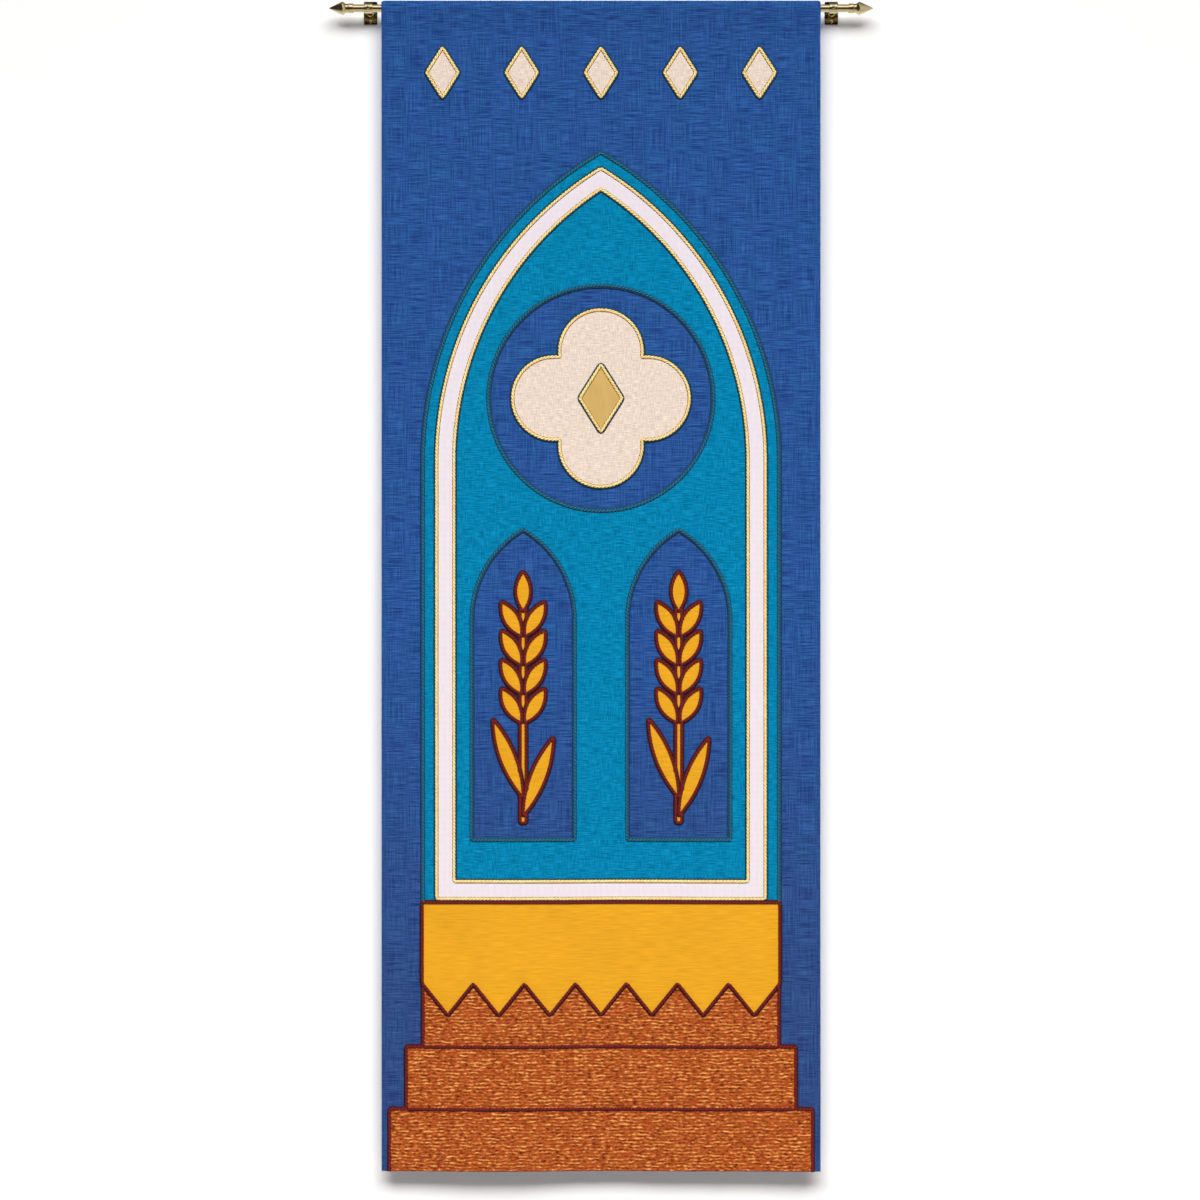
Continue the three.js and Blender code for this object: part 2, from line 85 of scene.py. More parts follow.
class ClothSettings(bpy.types.PropertyGroup):
    """The blue linen cloth with its hems and its sleeve"""

    width: size("Width", "Finished width", CLOTH_HIGH.x - CLOTH_LOW.x)
    drop: size("Drop", "From the crease over the rod to the hem", CLOTH_HIGH.z - CLOTH_LOW.z)
    crease: size("Crease height", "Crease of the sleeve above the rod's centre", CLOTH_HIGH.z)
    thickness: size("Thickness", "Thickness of one layer of the cloth", 1.8 * MM)
    side_hem: size("Side hem", "Width of the hems at the sides", 25 * MM)
    bottom_hem: size("Bottom hem", "Height of the hem at the bottom", 45 * MM)
    hem_layer: size("Hem layer", "What a folded layer adds on the back", 1.2 * MM)
    sleeve: size("Sleeve", "Depth of the sleeve from its crease to its stitching", 63 * MM)
    turning: size("Turning", "What is turned under below the sleeve's stitching", 11 * MM)
    mesh: size("Mesh", "Spacing of the cloth's own mesh", 14 * MM)
    blue: colour("Blue linen", "Colour of the ground", (0.0205, 0.0795, 0.270))


class PictureSettings(bpy.types.PropertyGroup):
    """The applied pieces on the banner's face"""

    thickness: size("Thickness", "Thickness of an applied piece", 1.0 * MM)
    gap: size("Gap", "Between an applied piece and what it lies on", 0.3 * MM)
    puff: size("Puff", "How far the middle of a piece stands up between its outlines", 0.5 * MM)
    mesh: size("Mesh", "Spacing of the applied pieces' meshes", 10 * MM)
    tweed_pitch: size("Tweed, pitch", "From one thick yarn of the tweed to the next", 7.2 * MM)
    tweed_ridge: size("Tweed, ridge", "Height of the tweed's thickest yarns", 0.9 * MM)
    window_half_width: size("Window, half width", "Half the width of the window", 370 * MM)
    window_base: size("Window, base", "Foot of the window above the hem", 540 * MM)
    window_spring: size("Window, springing", "Where the window's arch starts", 1480 * MM)
    light_centre: size("Light, centre", "From the middle to a light's own middle", 162 * MM)
    light_half_width: size("Light, half width", "Half the width of a light", 108 * MM)
    light_sill: size("Light, sill", "Foot of the lights above the hem", 690 * MM)
    light_spring: size("Light, springing", "Where the lights' arches start", 1150 * MM)
    round_centre: size("Round, centre", "Middle of the round above the hem", 1610 * MM)
    round_radius: size("Round, radius", "Radius of the round opening", 235 * MM)
    band_outer: size("Band, outer inset", "From the window's edge to the band", 28 * MM)
    band_inner: size("Band, inner inset", "From the window's edge to the band's inner edge", 64 * MM)
    turquoise: colour("Turquoise linen", "Colour of the window", (0.0010, 0.200, 0.388))
    white: colour("White brocade", "Colour of the band", (0.784, 0.708, 0.77))
    cream: colour("Cream linen", "Colour of the quatrefoil and lozenges", (0.775, 0.655, 0.565))
    ochre: colour("Ochre satin", "Colour of the quatrefoil's centre", (0.61, 0.40, 0.133))
    golden: colour("Golden rep", "Colour of the frontal and the wheat", (0.765, 0.360, 0.0173))
    rust: colour("Rust tweed", "Middle colour of the steps", (0.46, 0.099, 0.0195))


class OutlineSettings(bpy.types.PropertyGroup):
    """The twisted cords on the outlines, and the stitching: dark stitching beside the cords as their
    painted shadow, and running stitches
    """

    ply: size("Ply radius", "Radius of one of the cord's two plies", 1.8 * MM)
    spread: size("Spread", "From the cord's middle to a ply, across the cord", 1.75 * MM)
    rise: size("Rise", "From the cord's middle to a ply, away from the cloth", 0.9 * MM)
    lay: size("Lay", "Length of one full twist", 15 * MM)
    step: size("Step", "Spacing of the rings of a ply", 1.8 * MM)
    lift: size("Lift", "From a pressed edge to the cord's middle", 1.5 * MM)
    # Dark stitching beside each cord is painted shadow, standing in for the cord's shadow on the cloth.
    underlay: size("Underlay", "Width of the dark stitching under a cord", 11.5 * MM)
    shadow_stitching_shift: size("Underlay shift", "Dark stitching off the cord's middle", 1.3 * MM)
    shadow_stitching_height: size("Underlay height", "Thickness of the dark stitching", 2.0 * MM)
    stitch: size("Stitch", "Pitch of the running stitches at hems and sleeve", 4.2 * MM)
    seed: IntProperty(name="Seed", description="Seed of the stitches' unevenness", default=7, min=0)
    teal: colour("Teal cord", "Cord on the window's edges", (0.025, 0.160, 0.275))
    gold: colour("Gold cord", "Cord on the band, the quatrefoil and the lozenges", (1.0, 0.86, 0.41))
    maroon: colour("Maroon cord", "Cord on the steps, frontal and wheat", (0.195, 0.021, 0.017))
    # Colours of the dark stitching beside the cords, painted shadow of the cords on the cloth.
    dark: colour("Dark thread", "Stitching beside the gold cord", (0.014, 0.060, 0.085))
    slate: colour("Slate blue thread", "Stitching beside the teal cord", (0.014, 0.070, 0.150))
    dark_red: colour("Dark red thread", "Stitching beside the maroon cord", (0.045, 0.006, 0.008))


class BrassSettings(bpy.types.PropertyGroup):
    """The rod, its finials and the wall brackets"""

    radius: size("Rod radius", "Radius of the rod", (ROD_HIGH.z - ROD_LOW.z) / 2)
    from_wall: size("From wall", "Rod's centre from the wall", -(ROD_LOW.y + ROD_HIGH.y) / 2)
    half_rod: size("Half rod", "From the middle to the rod's end", ROD_HIGH.x)
    half_span: size("Half span", "From the middle to a finial's tip", TIP_RIGHT)
    collar: size("Collar", "Radius of a finial's collar", 9.9 * MM)
    ridge: size("Ridge", "Radius of a finial's ridge", 13.8 * MM)
    bracket: size("Bracket", "Bracket's centre from the middle", (BRACKET_LOW.x + BRACKET_HIGH.x) / 2)
    plate_width: size("Plate width", "Width of a wall plate", BRACKET_HIGH.x - BRACKET_LOW.x)
    plate_height: size("Plate height", "Height of a wall plate", BRACKET_HIGH.z - BRACKET_LOW.z)
    screw_height: size("Screw height", "Plate screws above and below the plate's middle", 17.5 * MM)
    brass: colour("Brass", "Colour of the polished brass", (0.80, 0.65, 0.36))


class StageSettings(bpy.types.PropertyGroup):
    """The wall, floor, lights and camera"""

    wall: size("Wall", "Half the width of the wall and the floor", 4.5)
    floor: size("Floor", "Floor below the banner's hem", 0.35)
    distance: size("Camera distance", "Camera from the wall", 5.045)
    height: number("Camera height", "Camera above the rod", -1.2325, unit="LENGTH")
    side: number("Camera side", "Camera to the right of the middle", -0.002, unit="LENGTH")
    lens: number("Lens", "Focal length in millimetres", 72.0)
    front: number("Front light", "Watts of the light in front", 15.0, min=0.0)
    behind: number("Back light", "Strength of the light behind", 2.2, min=0.0)
    room: number("Room light", "Strength of the room's soft light", 0.08, min=0.0)
    mirrored: number("Mirrored", "Strength of what the brass mirrors", 1.4, min=0.0)
    seen: number("Seen room", "Strength of the room where it is seen past the wall", 0.85, min=0.0)
    wall_paint: colour("Wall paint", "Colour of the wall", (0.99, 0.99, 0.99))
    floor_paint: colour("Floor paint", "Colour of the floor", (0.29, 0.262, 0.232))


class BannerSettings(bpy.types.PropertyGroup):
    """All the banner's settings"""

    cloth: PointerProperty(type=ClothSettings)
    picture: PointerProperty(type=PictureSettings)
    outline: PointerProperty(type=OutlineSettings)
    brass: PointerProperty(type=BrassSettings)
    stage: PointerProperty(type=StageSettings)


def settings():
    return bpy.context.scene.church_banner


# ---- Tables ----

# Slow waves of the hanging cloth, full at the hem and gone at the sleeve's stitching.
WAVES = [
    {"size": 3.2 * MM, "along_x": 1 / 0.640, "along_z": 0, "turn": 0.12},
    {"size": 1.6 * MM, "along_x": 1 / 0.370, "along_z": -1 / 2.600, "turn": 0.4},
    {"size": 1.2 * MM, "along_x": 0, "along_z": 1 / 0.980, "turn": 0.1},
    {"size": 0.35 * MM, "along_x": 1 / 0.131, "along_z": 1 / 1.700, "turn": 0.3},
    {"size": 0.25 * MM, "along_x": 1 / 0.260, "along_z": 1 / 0.210, "turn": 0.7},
]

# The hanging cloth's side edges turn a little towards the wall.
CURL = {"height": 1.1 * MM, "reach": 15 * MM}
# The sleeve's pressed crease, how far past it and the stitching its two skins would meet, and how far
# above the stitching the folded layers end and the sleeve's thinner edges start.
SLEEVE = {
    "fold": 1.5 * MM, "outside_above": 1.0 * MM, "outside_below": 4.4 * MM,
    "inside_above": -2.6 * MM, "inside_below": -4 * MM, "folds_end": 1 * MM, "starts": 0.5 * MM,
}
# Radii of the cloth's edges, of the sleeve's thinner edges and of a fold on the back.
CLOTH_EDGE = 1.5 * MM
SLEEVE_EDGE = 0.85 * MM
FOLD_EDGE = 0.6 * MM
# Where two edges meet the faces are drawn in by no more than this share of the radius.
DEEPEST = 0.94
CLOTH_SHARP = 60
# Where the cloth's mesh is finer: in from the side edges, up from the hem, up to a fold, up the turning
# and, from the rod's middle, in the sleeve, which is hollow between two of its heights.
EDGE_COLUMNS = np.array([0, 0.22, 0.6, 1.05, 1.5, 6, 12, 18]) * MM
FOOT_ROWS = np.array([0, 0.22, 0.6, 1.05, 1.5, 12, 24, 35]) * MM
FOLD_ROWS = np.array([0.6, 0.3, 0.1, 0.0]) * MM
TURNING_ROWS = np.array([0, 0.1, 0.3, 0.6, 6]) * MM
SLEEVE_ROWS = np.array([
    -47, -45.5, -43, -38, -32, -26, -20, -14, -10, -7.5, -5, -2.5, 0, 2.2, 4.2,
    6, 7.6, 9.2, 10.8, 12.2, 13.4, 14.2, 14.8, 15.3, 15.65, 15.88, 16,
]) * MM
HOLLOW = {"low": -43 * MM, "high": 13.4 * MM}

# The picture's shapes. Heights are above the hem, and a shape's width is across its own length.
STEPS = [
    {"name": "step_low", "half_width": 440 * MM, "base": 0.0, "top": 130 * MM},
    {"name": "step_middle", "half_width": 405 * MM, "base": 130.3 * MM, "top": 260 * MM},
    {"name": "step_top", "half_width": 370 * MM, "base": 260.3 * MM, "top": 400 * MM},
]
QUATREFOIL = {"lobe_centre": 98 * MM, "lobe_radius": 86 * MM}
CENTRE = {"half_width": 44 * MM, "half_height": 70 * MM}
BORDER = {"count": 5, "pitch": 165 * MM, "centre": 2288 * MM}
BORDER_LOZENGE = {"half_width": 33 * MM, "half_height": 52 * MM}
FRONTAL = {"half_width": 372 * MM, "base": 392 * MM, "top": 560 * MM, "points": 7, "drop": 66 * MM}
STALK = {"foot": 726 * MM, "top": 1172 * MM, "half_width": 6 * MM}
GRAIN = {"length": 84 * MM, "width": 31 * MM}
GRAINS = {"tilt": 30, "pairs": 4, "first": 934 * MM, "pitch": 60 * MM, "root": 0.6}
LEAF = {"length": 176 * MM, "width": 32 * MM}
LEAF_TILT = 21
LEAF_ROOTS = [{"side": 1, "height": 740 * MM}, {"side": -1, "height": 778 * MM}]

# The tweed's mesh, its yarns' thick and thin stretches, and how the yarns leave the level line.
TWEED = {"rows": 4, "column": 7 * MM, "stretch": 9.5 * MM, "thinnest": 0.2, "seed": 3, "random": (80, 120)}
WANDER = [
    {"size": 1.1 * MM, "across": 0.083, "up": 0.061},
    {"size": 0.7 * MM, "across": 0.037, "up": -0.047},
]

# Steps of a cord's line and of a piece's outline, and how far a cord stops short of another.
CORD_STEP = 2 * MM
OUTLINE_STEP = 6 * MM
LINE_GAP = 2 * MM
# An applied piece's mesh has rings of points at these distances from its rim and a grid inside them.
# A ring's point is kept if it is nearly that far from every rim, and the grid stays clear of the last
# ring by a share of its own pitch, or by a distance where the grid is fine.
RIM_RINGS = (0.8 * MM, 2.6 * MM, 7 * MM)
RING_KEPT = 0.93
GRID_CLEAR = 0.45
FINE_GRID_CLEAR = 0.8 * MM
# Thickness left at an applied piece's pressed edge, and how high on it the cord lies, both as shares of
# the full thickness. Its puff is whole this far in from the rim.
PRESSED = 0.45
CORD_SEAT = 0.6
PUFF_REACH = 20 * MM
APPLIED_SHARP = 50

# A length that counts as none, how near points are joined, also in a flat mesh, and how many are
# measured at once.
TINY = 1e-12
WELD = 1e-6
FLAT_WELD = 1e-7
BATCH = 2000

# The brass parts. CLEARANCE is between a hole and what fits in it, and under a screw's head.
SIDES = (("left", -1), ("right", 1))
BRASS_SHARP = 35
CLEARANCE = 0.3 * MM
END_EDGE = 0.6 * MM
FINIAL = {"collar": 11.5 * MM, "flare": 10 * MM, "cone": 29 * MM, "socket": 11 * MM, "tip": 1.1 * MM}
RING = {"radius": 10.6 * MM, "half_length": 8.5 * MM, "edge": 0.9 * MM}
PLATE = {"thickness": 3 * MM, "corner": 2.5 * MM, "bevel": 0.8 * MM}
POST = {"radius": 5 * MM, "flare": 2.2 * MM, "foot": 8 * MM, "sunk": 1.5 * MM}
SCREW = {"head": 3.7 * MM, "height": 2.1 * MM, "shank": 1.8 * MM, "edge": 0.5 * MM, "chamfer": 0.3 * MM}
SLOT = {"half_width": 0.55 * MM, "depth": 1.0 * MM, "half_length": 5 * MM}
HOLE_RADIUS = 2.1 * MM

# The wall's height and how far the floor reaches, and the lights: an oval one that hangs in front and
# a broad far one behind, with their turns in degrees.
ROOM = {"height": 6.5, "near": -7, "far": 4}
FRONT_LIGHT = {"place": (0.05, -4.57, 2.36), "turn": (18.4, 0, 0.6), "size": (6.6, 3.2)}
BACK_LIGHT = {"place": (0, 0, 0), "turn": (-52, 0, -20), "angle": 40}


# ---- The hanging cloth's surface ----

def hem_height():
    cloth = settings().cloth
    return cloth.crease - cloth.drop


def stitch_height():
    cloth = settings().cloth
    return cloth.crease - cloth.sleeve


def wave(x, z):
    """How far the hanging cloth swings from its plane, which is nothing at the sleeve's stitching."""
    stitch = stitch_height()
    drop = np.clip((stitch - z) / (stitch - hem_height()), 0, 1)
    swing = sum(
        w["size"] * np.sin(2 * np.pi * (x * w["along_x"] + z * w["along_z"] + w["turn"])) for w in WAVES
    )
    from_edge = settings().cloth.width / 2 - np.abs(x)
    curl = CURL["height"] * np.clip(1 - from_edge / CURL["reach"], 0, 1) ** 2
    return np.sqrt(drop) * (swing + curl)


def band_round_rod(z, radius, above, below):
    """Half the depth at height z of a band stretched round the rod and drawn to a line above and below."""
    upper = radius ** 2 / above
    lower = -(radius ** 2) / below
    half = np.sqrt(np.maximum(radius ** 2 - z ** 2, 0))
    half = np.where(z > upper, (above - z) * math.tan(math.asin(radius / above)), half)
    half = np.where(z < lower, (z + below) * math.tan(math.asin(radius / below)), half)
    return np.maximum(half, 0)


def sleeve_outside(z):
    """Half the depth of the sleeve outside, with its pressed crease a little rounded."""
    cloth, brass = settings().cloth, settings().brass
    radius = brass.radius + settings().picture.gap + cloth.thickness
    fold = SLEEVE["fold"]
    above = cloth.crease + SLEEVE["outside_above"]
    slope = math.asin(radius / above)
    half = band_round_rod(z, radius, above, -stitch_height() + SLEEVE["outside_below"])
    centre = cloth.crease - fold
    cap = np.sqrt(np.maximum(fold ** 2 - (z - centre) ** 2, 0))
    return np.where(z > centre + fold * math.sin(slope), cap, half)


def sleeve_inside(z):
    cloth, brass = settings().cloth, settings().brass
    radius = brass.radius + settings().picture.gap
    above, below = cloth.crease + SLEEVE["inside_above"], -stitch_height() + SLEEVE["inside_below"]
    return band_round_rod(z, radius, above, below)


def cloth_front(x, z):
    half = np.maximum(settings().cloth.thickness / 2, sleeve_outside(z))
    return -settings().brass.from_wall + wave(x, z) - half


def fold_step(inside):
    """0 outside a folded layer, 1 well inside it, with the fold's round edge between."""
    t = np.clip(inside / FOLD_EDGE, 0, 1)
    return np.sqrt(np.maximum(1 - (1 - t) ** 2, 0))


def cloth_back(x, z):
    cloth = settings().cloth
    in_side = fold_step(np.abs(x) - (cloth.width / 2 - cloth.side_hem))
    in_bottom = fold_step(hem_height() + cloth.bottom_hem - z)
    in_turning = fold_step(z - (stitch_height() - cloth.turning))
    folded = np.maximum(np.maximum(in_side, in_bottom), in_turning)
    folded = np.where(z > stitch_height() + SLEEVE["folds_end"], 0, folded)
    half = np.maximum(cloth.thickness / 2 + cloth.hem_layer * folded, sleeve_outside(z))
    return -settings().brass.from_wall + wave(x, z) + half


def hang(points):
    """Points laid out flat, as (across, above the hem, relief), in their place on the hanging cloth."""
    across, up, relief = np.asarray(points, float).T
    z = hem_height() + up
    return np.column_stack((across, cloth_front(across, z) - relief, z))


# ---- Pieces ----

def link(name, data):
    """A new object in the scene."""
    piece = bpy.data.objects.new(name, data)
    bpy.context.scene.collection.objects.link(piece)
    return piece


def smooth(piece, sharp):
    """Smooth shading, with an edge where faces meet at more than this many degrees."""
    piece.data.shade_smooth()
    piece.data.set_sharp_from_angle(angle=math.radians(sharp))


def new_piece(name, points, faces, material, sharp=40):
    """An object at the origin with its place in its mesh."""
    mesh = bpy.data.meshes.new(name)
    mesh.from_pydata([tuple(p) for p in points], [], [tuple(f) for f in faces])
    if mesh.validate():
        raise RuntimeError(f"{name} has faces that are not sound")
    mesh.materials.append(material)
    piece = link(name, mesh)
    smooth(piece, sharp)
    return piece


def carry(piece, slot, *nodes):
    """Every piece rides on the one body and may stand for nodes of the frame."""
    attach(piece, "root")
    if nodes:
        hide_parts(*nodes)


def face_outward(piece, sharp):
    """Closes a shell's doubled points and turns its faces outward."""
    work = bmesh.new()
    work.from_mesh(piece.data)
    bmesh.ops.remove_doubles(work, verts=work.verts, dist=WELD)
    bmesh.ops.recalc_face_normals(work, faces=work.faces)
    work.to_mesh(piece.data)
    work.free()
    smooth(piece, sharp)


def spaced(low, high, pitch):
    return np.linspace(low, high, max(2, math.ceil((high - low) / pitch) + 1))


def eased(t):
    """A share that starts and ends gently."""
    return t * t * (3 - 2 * t)


def length_of(way):
    """Each step's length, never quite nothing, to divide the steps by."""
    return np.maximum(np.hypot(*way.T), TINY)[:, None]


# ---- Outlines, laid out flat ----

def arc(centre, radius, start, end):
    steps = max(2, math.ceil(abs(end - start) * radius / OUTLINE_STEP))
    turn = np.linspace(start, end, steps + 1)
    return np.column_stack((centre[0] + radius * np.cos(turn), centre[1] + radius * np.sin(turn)))


def divided(corners, closed=True):
    """A line through the corners with points no further apart than the outline's step."""
    corners = np.asarray(corners, float)
    ends = np.roll(corners, -1, axis=0) if closed else corners[1:]
    parts = []
    for a, b in zip(corners, ends):
        count = max(1, math.ceil(np.hypot(*(b - a)) / OUTLINE_STEP))
        parts.append(a + (b - a) * np.arange(count)[:, None] / count)
    if not closed:
        parts.append(corners[-1:])
    return np.vstack(parts)


def lancet(centre, half_width, base, spring, inset=0.0):
    """A pointed arch struck from the opposite springing points, drawn in by the inset."""
    radius = 2 * half_width - inset
    apex = math.acos(half_width / radius)
    right = arc((centre - half_width, spring), radius, 0, apex)
    left = arc((centre + half_width, spring), radius, math.pi - apex, math.pi)
    foot = [(centre - half_width + inset, base), (centre + half_width - inset, base)]
    return divided(np.vstack((foot, right, left[1:])))


def lozenge(x, up, half_width, half_height):
    right, left = (x + half_width, up), (x - half_width, up)
    return divided([(x, up - half_height), right, (x, up + half_height), left])


def rectangle(x, half_width, base, top):
    left, right = x - half_width, x + half_width
    return divided([(left, base), (right, base), (right, top), (left, top)])


def window_outline():
    p = settings().picture
    return lancet(0, p.window_half_width, p.window_base, p.window_spring)


def light_outlines():
    p = settings().picture
    return [lancet(s * p.light_centre, p.light_half_width, p.light_sill, p.light_spring) for s in (-1, 1)]


def round_outline():
    p = settings().picture
    return arc((0, p.round_centre), p.round_radius, 0, 2 * math.pi)[:-1]


def band_outline(inset):
    p = settings().picture
    return lancet(0, p.window_half_width, p.window_base + inset, p.window_spring, inset)


def quatrefoil_outline():
    centre, radius = QUATREFOIL["lobe_centre"], QUATREFOIL["lobe_radius"]
    cusp = (centre + math.sqrt(2 * radius ** 2 - centre ** 2)) / 2
    sweep = math.atan2(cusp, cusp - centre)
    up = settings().picture.round_centre
    lobes = []
    for lobe in range(4):
        turn = lobe * math.pi / 2
        middle = (centre * math.cos(turn), up + centre * math.sin(turn))
        lobes.append(arc(middle, radius, turn - sweep, turn + sweep)[:-1])
    return np.vstack(lobes)


def centre_outline():
    return lozenge(0, settings().picture.round_centre, **CENTRE)


def border_outlines():
    places = (np.arange(BORDER["count"]) - (BORDER["count"] - 1) / 2) * BORDER["pitch"]
    return [lozenge(x, BORDER["centre"], **BORDER_LOZENGE) for x in places]


def frontal_outline():
    half, base, points = FRONTAL["half_width"], FRONTAL["base"], FRONTAL["points"]
    pitch = 2 * half / points
    corners = []
    for i in range(points):
        corners.append((-half + i * pitch, base))
        corners.append((-half + (i + 0.5) * pitch, base - FRONTAL["drop"]))
    return divided([*corners, (half, base), (half, FRONTAL["top"]), (-half, FRONTAL["top"])])


def step_outline(step):
    return rectangle(0, step["half_width"], step["base"], step["top"])


def blade(x, up, length, width, tilt):
    """A leaf or grain, pointed at both ends, that stands on its root and leans to one side."""
    lean = math.radians(tilt)
    across = np.array((math.cos(lean), -math.sin(lean)))
    along = np.array((math.sin(lean), math.cos(lean)))
    root = np.array((x, up))
    tip, middle = root + along * length, root + along * length / 2
    t = np.linspace(0, 1, max(6, math.ceil(length / OUTLINE_STEP)) + 1)[:, None]
    sides = []
    bulge = across * width
    for start, control, end in ((root, middle + bulge, tip), (tip, middle - bulge, root)):
        sides.append(((1 - t) ** 2 * start + 2 * t * (1 - t) * control + t ** 2 * end)[:-1])
    return np.vstack(sides)


def wheat_outlines(centre):
    """The stalk's shapes from the lowest to the one that lies on top."""
    half, top = STALK["half_width"], STALK["top"]
    shapes = [rectangle(centre, half, STALK["foot"], top)]
    for root in LEAF_ROOTS:
        shapes.append(blade(centre, root["height"], tilt=root["side"] * LEAF_TILT, **LEAF))
    shapes.append(blade(centre, top - half, tilt=0, **GRAIN))
    for pair in reversed(range(GRAINS["pairs"])):
        up = GRAINS["first"] + pair * GRAINS["pitch"]
        for side in (-1, 1):
            across = centre + side * half * GRAINS["root"]
            shapes.append(blade(across, up, tilt=side * GRAINS["tilt"], **GRAIN))
    return shapes


# ---- Applied pieces ----

def inside(points, loop):
    """Which points lie inside a closed line."""
    x, y = points[:, 0][:, None], points[:, 1][:, None]
    a, b = loop, np.roll(loop, -1, axis=0)
    between = (a[:, 1] > y) != (b[:, 1] > y)
    rise = np.where(b[:, 1] == a[:, 1], TINY, b[:, 1] - a[:, 1])
    crossing = a[:, 0] + (y - a[:, 1]) / rise * (b[:, 0] - a[:, 0])
    return (np.sum(between & (x < crossing), axis=1) % 2) == 1


def within(points, shapes, openings):
    """Which points lie inside any of the shapes and outside all the openings."""
    kept = np.any([inside(points, s) for s in shapes], axis=0)
    for opening in openings:
        kept &= ~inside(points, opening)
    return kept


def distance(points, starts, ends):
    """Each point's distance to the nearest of the line pieces."""
    along = ends - starts
    length = np.maximum((along ** 2).sum(1), TINY)
    nearest = np.full(len(points), np.inf)
    for i in range(0, len(points), BATCH):
        offset = points[i:i + BATCH, None, :] - starts
        t = np.clip((offset * along).sum(2) / length, 0, 1)
        gap = offset - t[:, :, None] * along
        nearest[i:i + BATCH] = np.sqrt((gap ** 2).sum(2).min(1))
    return nearest


def closed_edges(loops):
    points = np.vstack(loops)
    edges, first = [], 0
    for loop in loops:
        n = len(loop)
        edges += [(first + i, first + (i + 1) % n) for i in range(n)]
        first += n
    return points, edges


def triangles_within(points, edges, shapes, openings):
    """The points with any that crossing edges add, and the triangles that lie within the shapes."""
    made = delaunay_2d_cdt([Vector(p) for p in points], edges, [], 0, FLAT_WELD)
    places = np.array([tuple(v) for v in made[0]])
    faces = np.array(made[2])
    kept = faces[within(places[faces].mean(axis=1), shapes, openings)]
    return places, kept


def rim_of(faces):
    """The edges that only one triangle has, in that triangle's own direction."""
    edges = np.vstack((faces[:, [0, 1]], faces[:, [1, 2]], faces[:, [2, 0]]))
    known = {tuple(e) for e in edges.tolist()}
    return [(a, b) for a, b in edges.tolist() if (b, a) not in known]


def ring_points(loop, inset):
    """Points beside a closed line, on both sides of it."""
    way = np.roll(loop, -1, axis=0) - np.roll(loop, 1, axis=0)
    across = np.column_stack((way[:, 1], -way[:, 0]))
    across /= length_of(across)
    return np.vstack((loop + across * inset, loop - across * inset))


def lattice(across, up):
    """Every point of a grid."""
    return np.array([(x, y) for x in across for y in up])


def cut_flat(shapes, openings=(), grid=None, rings=RIM_RINGS):
    """A flat piece's points, triangles, rim edges and each point's distance from the rim."""
    points, edges = closed_edges([*shapes, *openings])
    places, faces = triangles_within(points, edges, shapes, openings)
    rim = np.array(rim_of(faces))
    starts, ends = places[rim[:, 0]], places[rim[:, 1]]
    if grid is None:
        pitch = settings().picture.mesh
        low, high = places.min(0), places.max(0)
        grid = lattice(spaced(low[0], high[0], pitch)[1:-1], spaced(low[1], high[1], pitch)[1:-1])
        clear = rings[-1] + GRID_CLEAR * pitch
    else:
        clear = rings[-1] + FINE_GRID_CLEAR
    grid = grid[within(grid, shapes, openings)]
    extra = [grid[distance(grid, starts, ends) > clear]]
    for inset in rings:
        ring = np.vstack([ring_points(loop, inset) for loop in (*shapes, *openings)])
        ring = ring[within(ring, shapes, openings)]
        extra.append(ring[distance(ring, starts, ends) > RING_KEPT * inset])
    places, faces = triangles_within(np.vstack((points, *extra)), edges, shapes, openings)
    used, faces = np.unique(faces, return_inverse=True)
    places, faces = places[used], faces.reshape(-1, 3)
    return places, faces, rim_of(faces), distance(places, starts, ends)


def layer_height(layer):
    """The underside of an applied layer above the cloth."""
    picture = settings().picture
    return picture.gap + layer * (picture.gap + picture.thickness)


def applied_piece(name, layer, material, shapes, openings=(), ridges=None, **cut):
    """A closed thin piece on the hanging cloth, and its flat area. Its edge is pressed down where the
    cord covers it. ridges gives each point a share, from 0 to 1, of the tweed's ridge."""
    picture = settings().picture
    places, faces, rim, inward = cut_flat(shapes, openings, **cut)
    back = layer_height(layer)
    from_rim = np.clip(inward / RIM_RINGS[1], 0, 1)
    edge = PRESSED + (1 - PRESSED) * np.sqrt(1 - (1 - from_rim) ** 2)
    puff = picture.puff * eased(np.clip(inward / PUFF_REACH, 0, 1))
    count = len(places)
    ridge = ridges(places) * from_rim if ridges else np.zeros(count)
    front = back + picture.thickness * edge + puff + picture.tweed_ridge * ridge
    flat = np.vstack((
        np.column_stack((places, front)),
        np.column_stack((places, np.full(count, back))),
    ))
    every = [tuple(f) for f in faces]
    every += [(f[2] + count, f[1] + count, f[0] + count) for f in faces]
    every += [(a, a + count, b + count, b) for a, b in rim]
    piece = new_piece(name, hang(flat), every, material, APPLIED_SHARP)
    if ridges:
        shares = piece.data.attributes.new("ridge", "FLOAT", "POINT")
        shares.data.foreach_set("value", np.concatenate((ridge, np.zeros(count))))
    corners = places[faces]
    a, b = corners[:, 1] - corners[:, 0], corners[:, 2] - corners[:, 0]
    area = float(np.abs(a[:, 0] * b[:, 1] - a[:, 1] * b[:, 0]).sum() / 2)
    return piece, area


def apply_cloth(node, layer, finish, shapes, openings=(), flat=None, on="cloth_of_banner", **cut):
    piece, area = applied_piece(node + "_cloth", layer, material(finish), shapes, openings, **cut)
    carry(piece, finish.replace(" ", "_"), node)
    if flat is None:
        points = np.array([v.co for v in piece.data.vertices])
        flat = tuple(np.ptp(points[:, [0, 2]], axis=0))


# ---- Node trees ----

def add(tree, kind, inputs=None, **details):
    """A new node with its details set and its inputs filled with values or with other nodes' outputs."""
    node = tree.nodes.new(kind)
    for key, value in details.items():
        setattr(node, key, value)
    for key, value in (inputs or {}).items():
        if isinstance(value, bpy.types.NodeSocket):
            tree.links.new(value, node.inputs[key])
        else:
            node.inputs[key].default_value = value
    return node


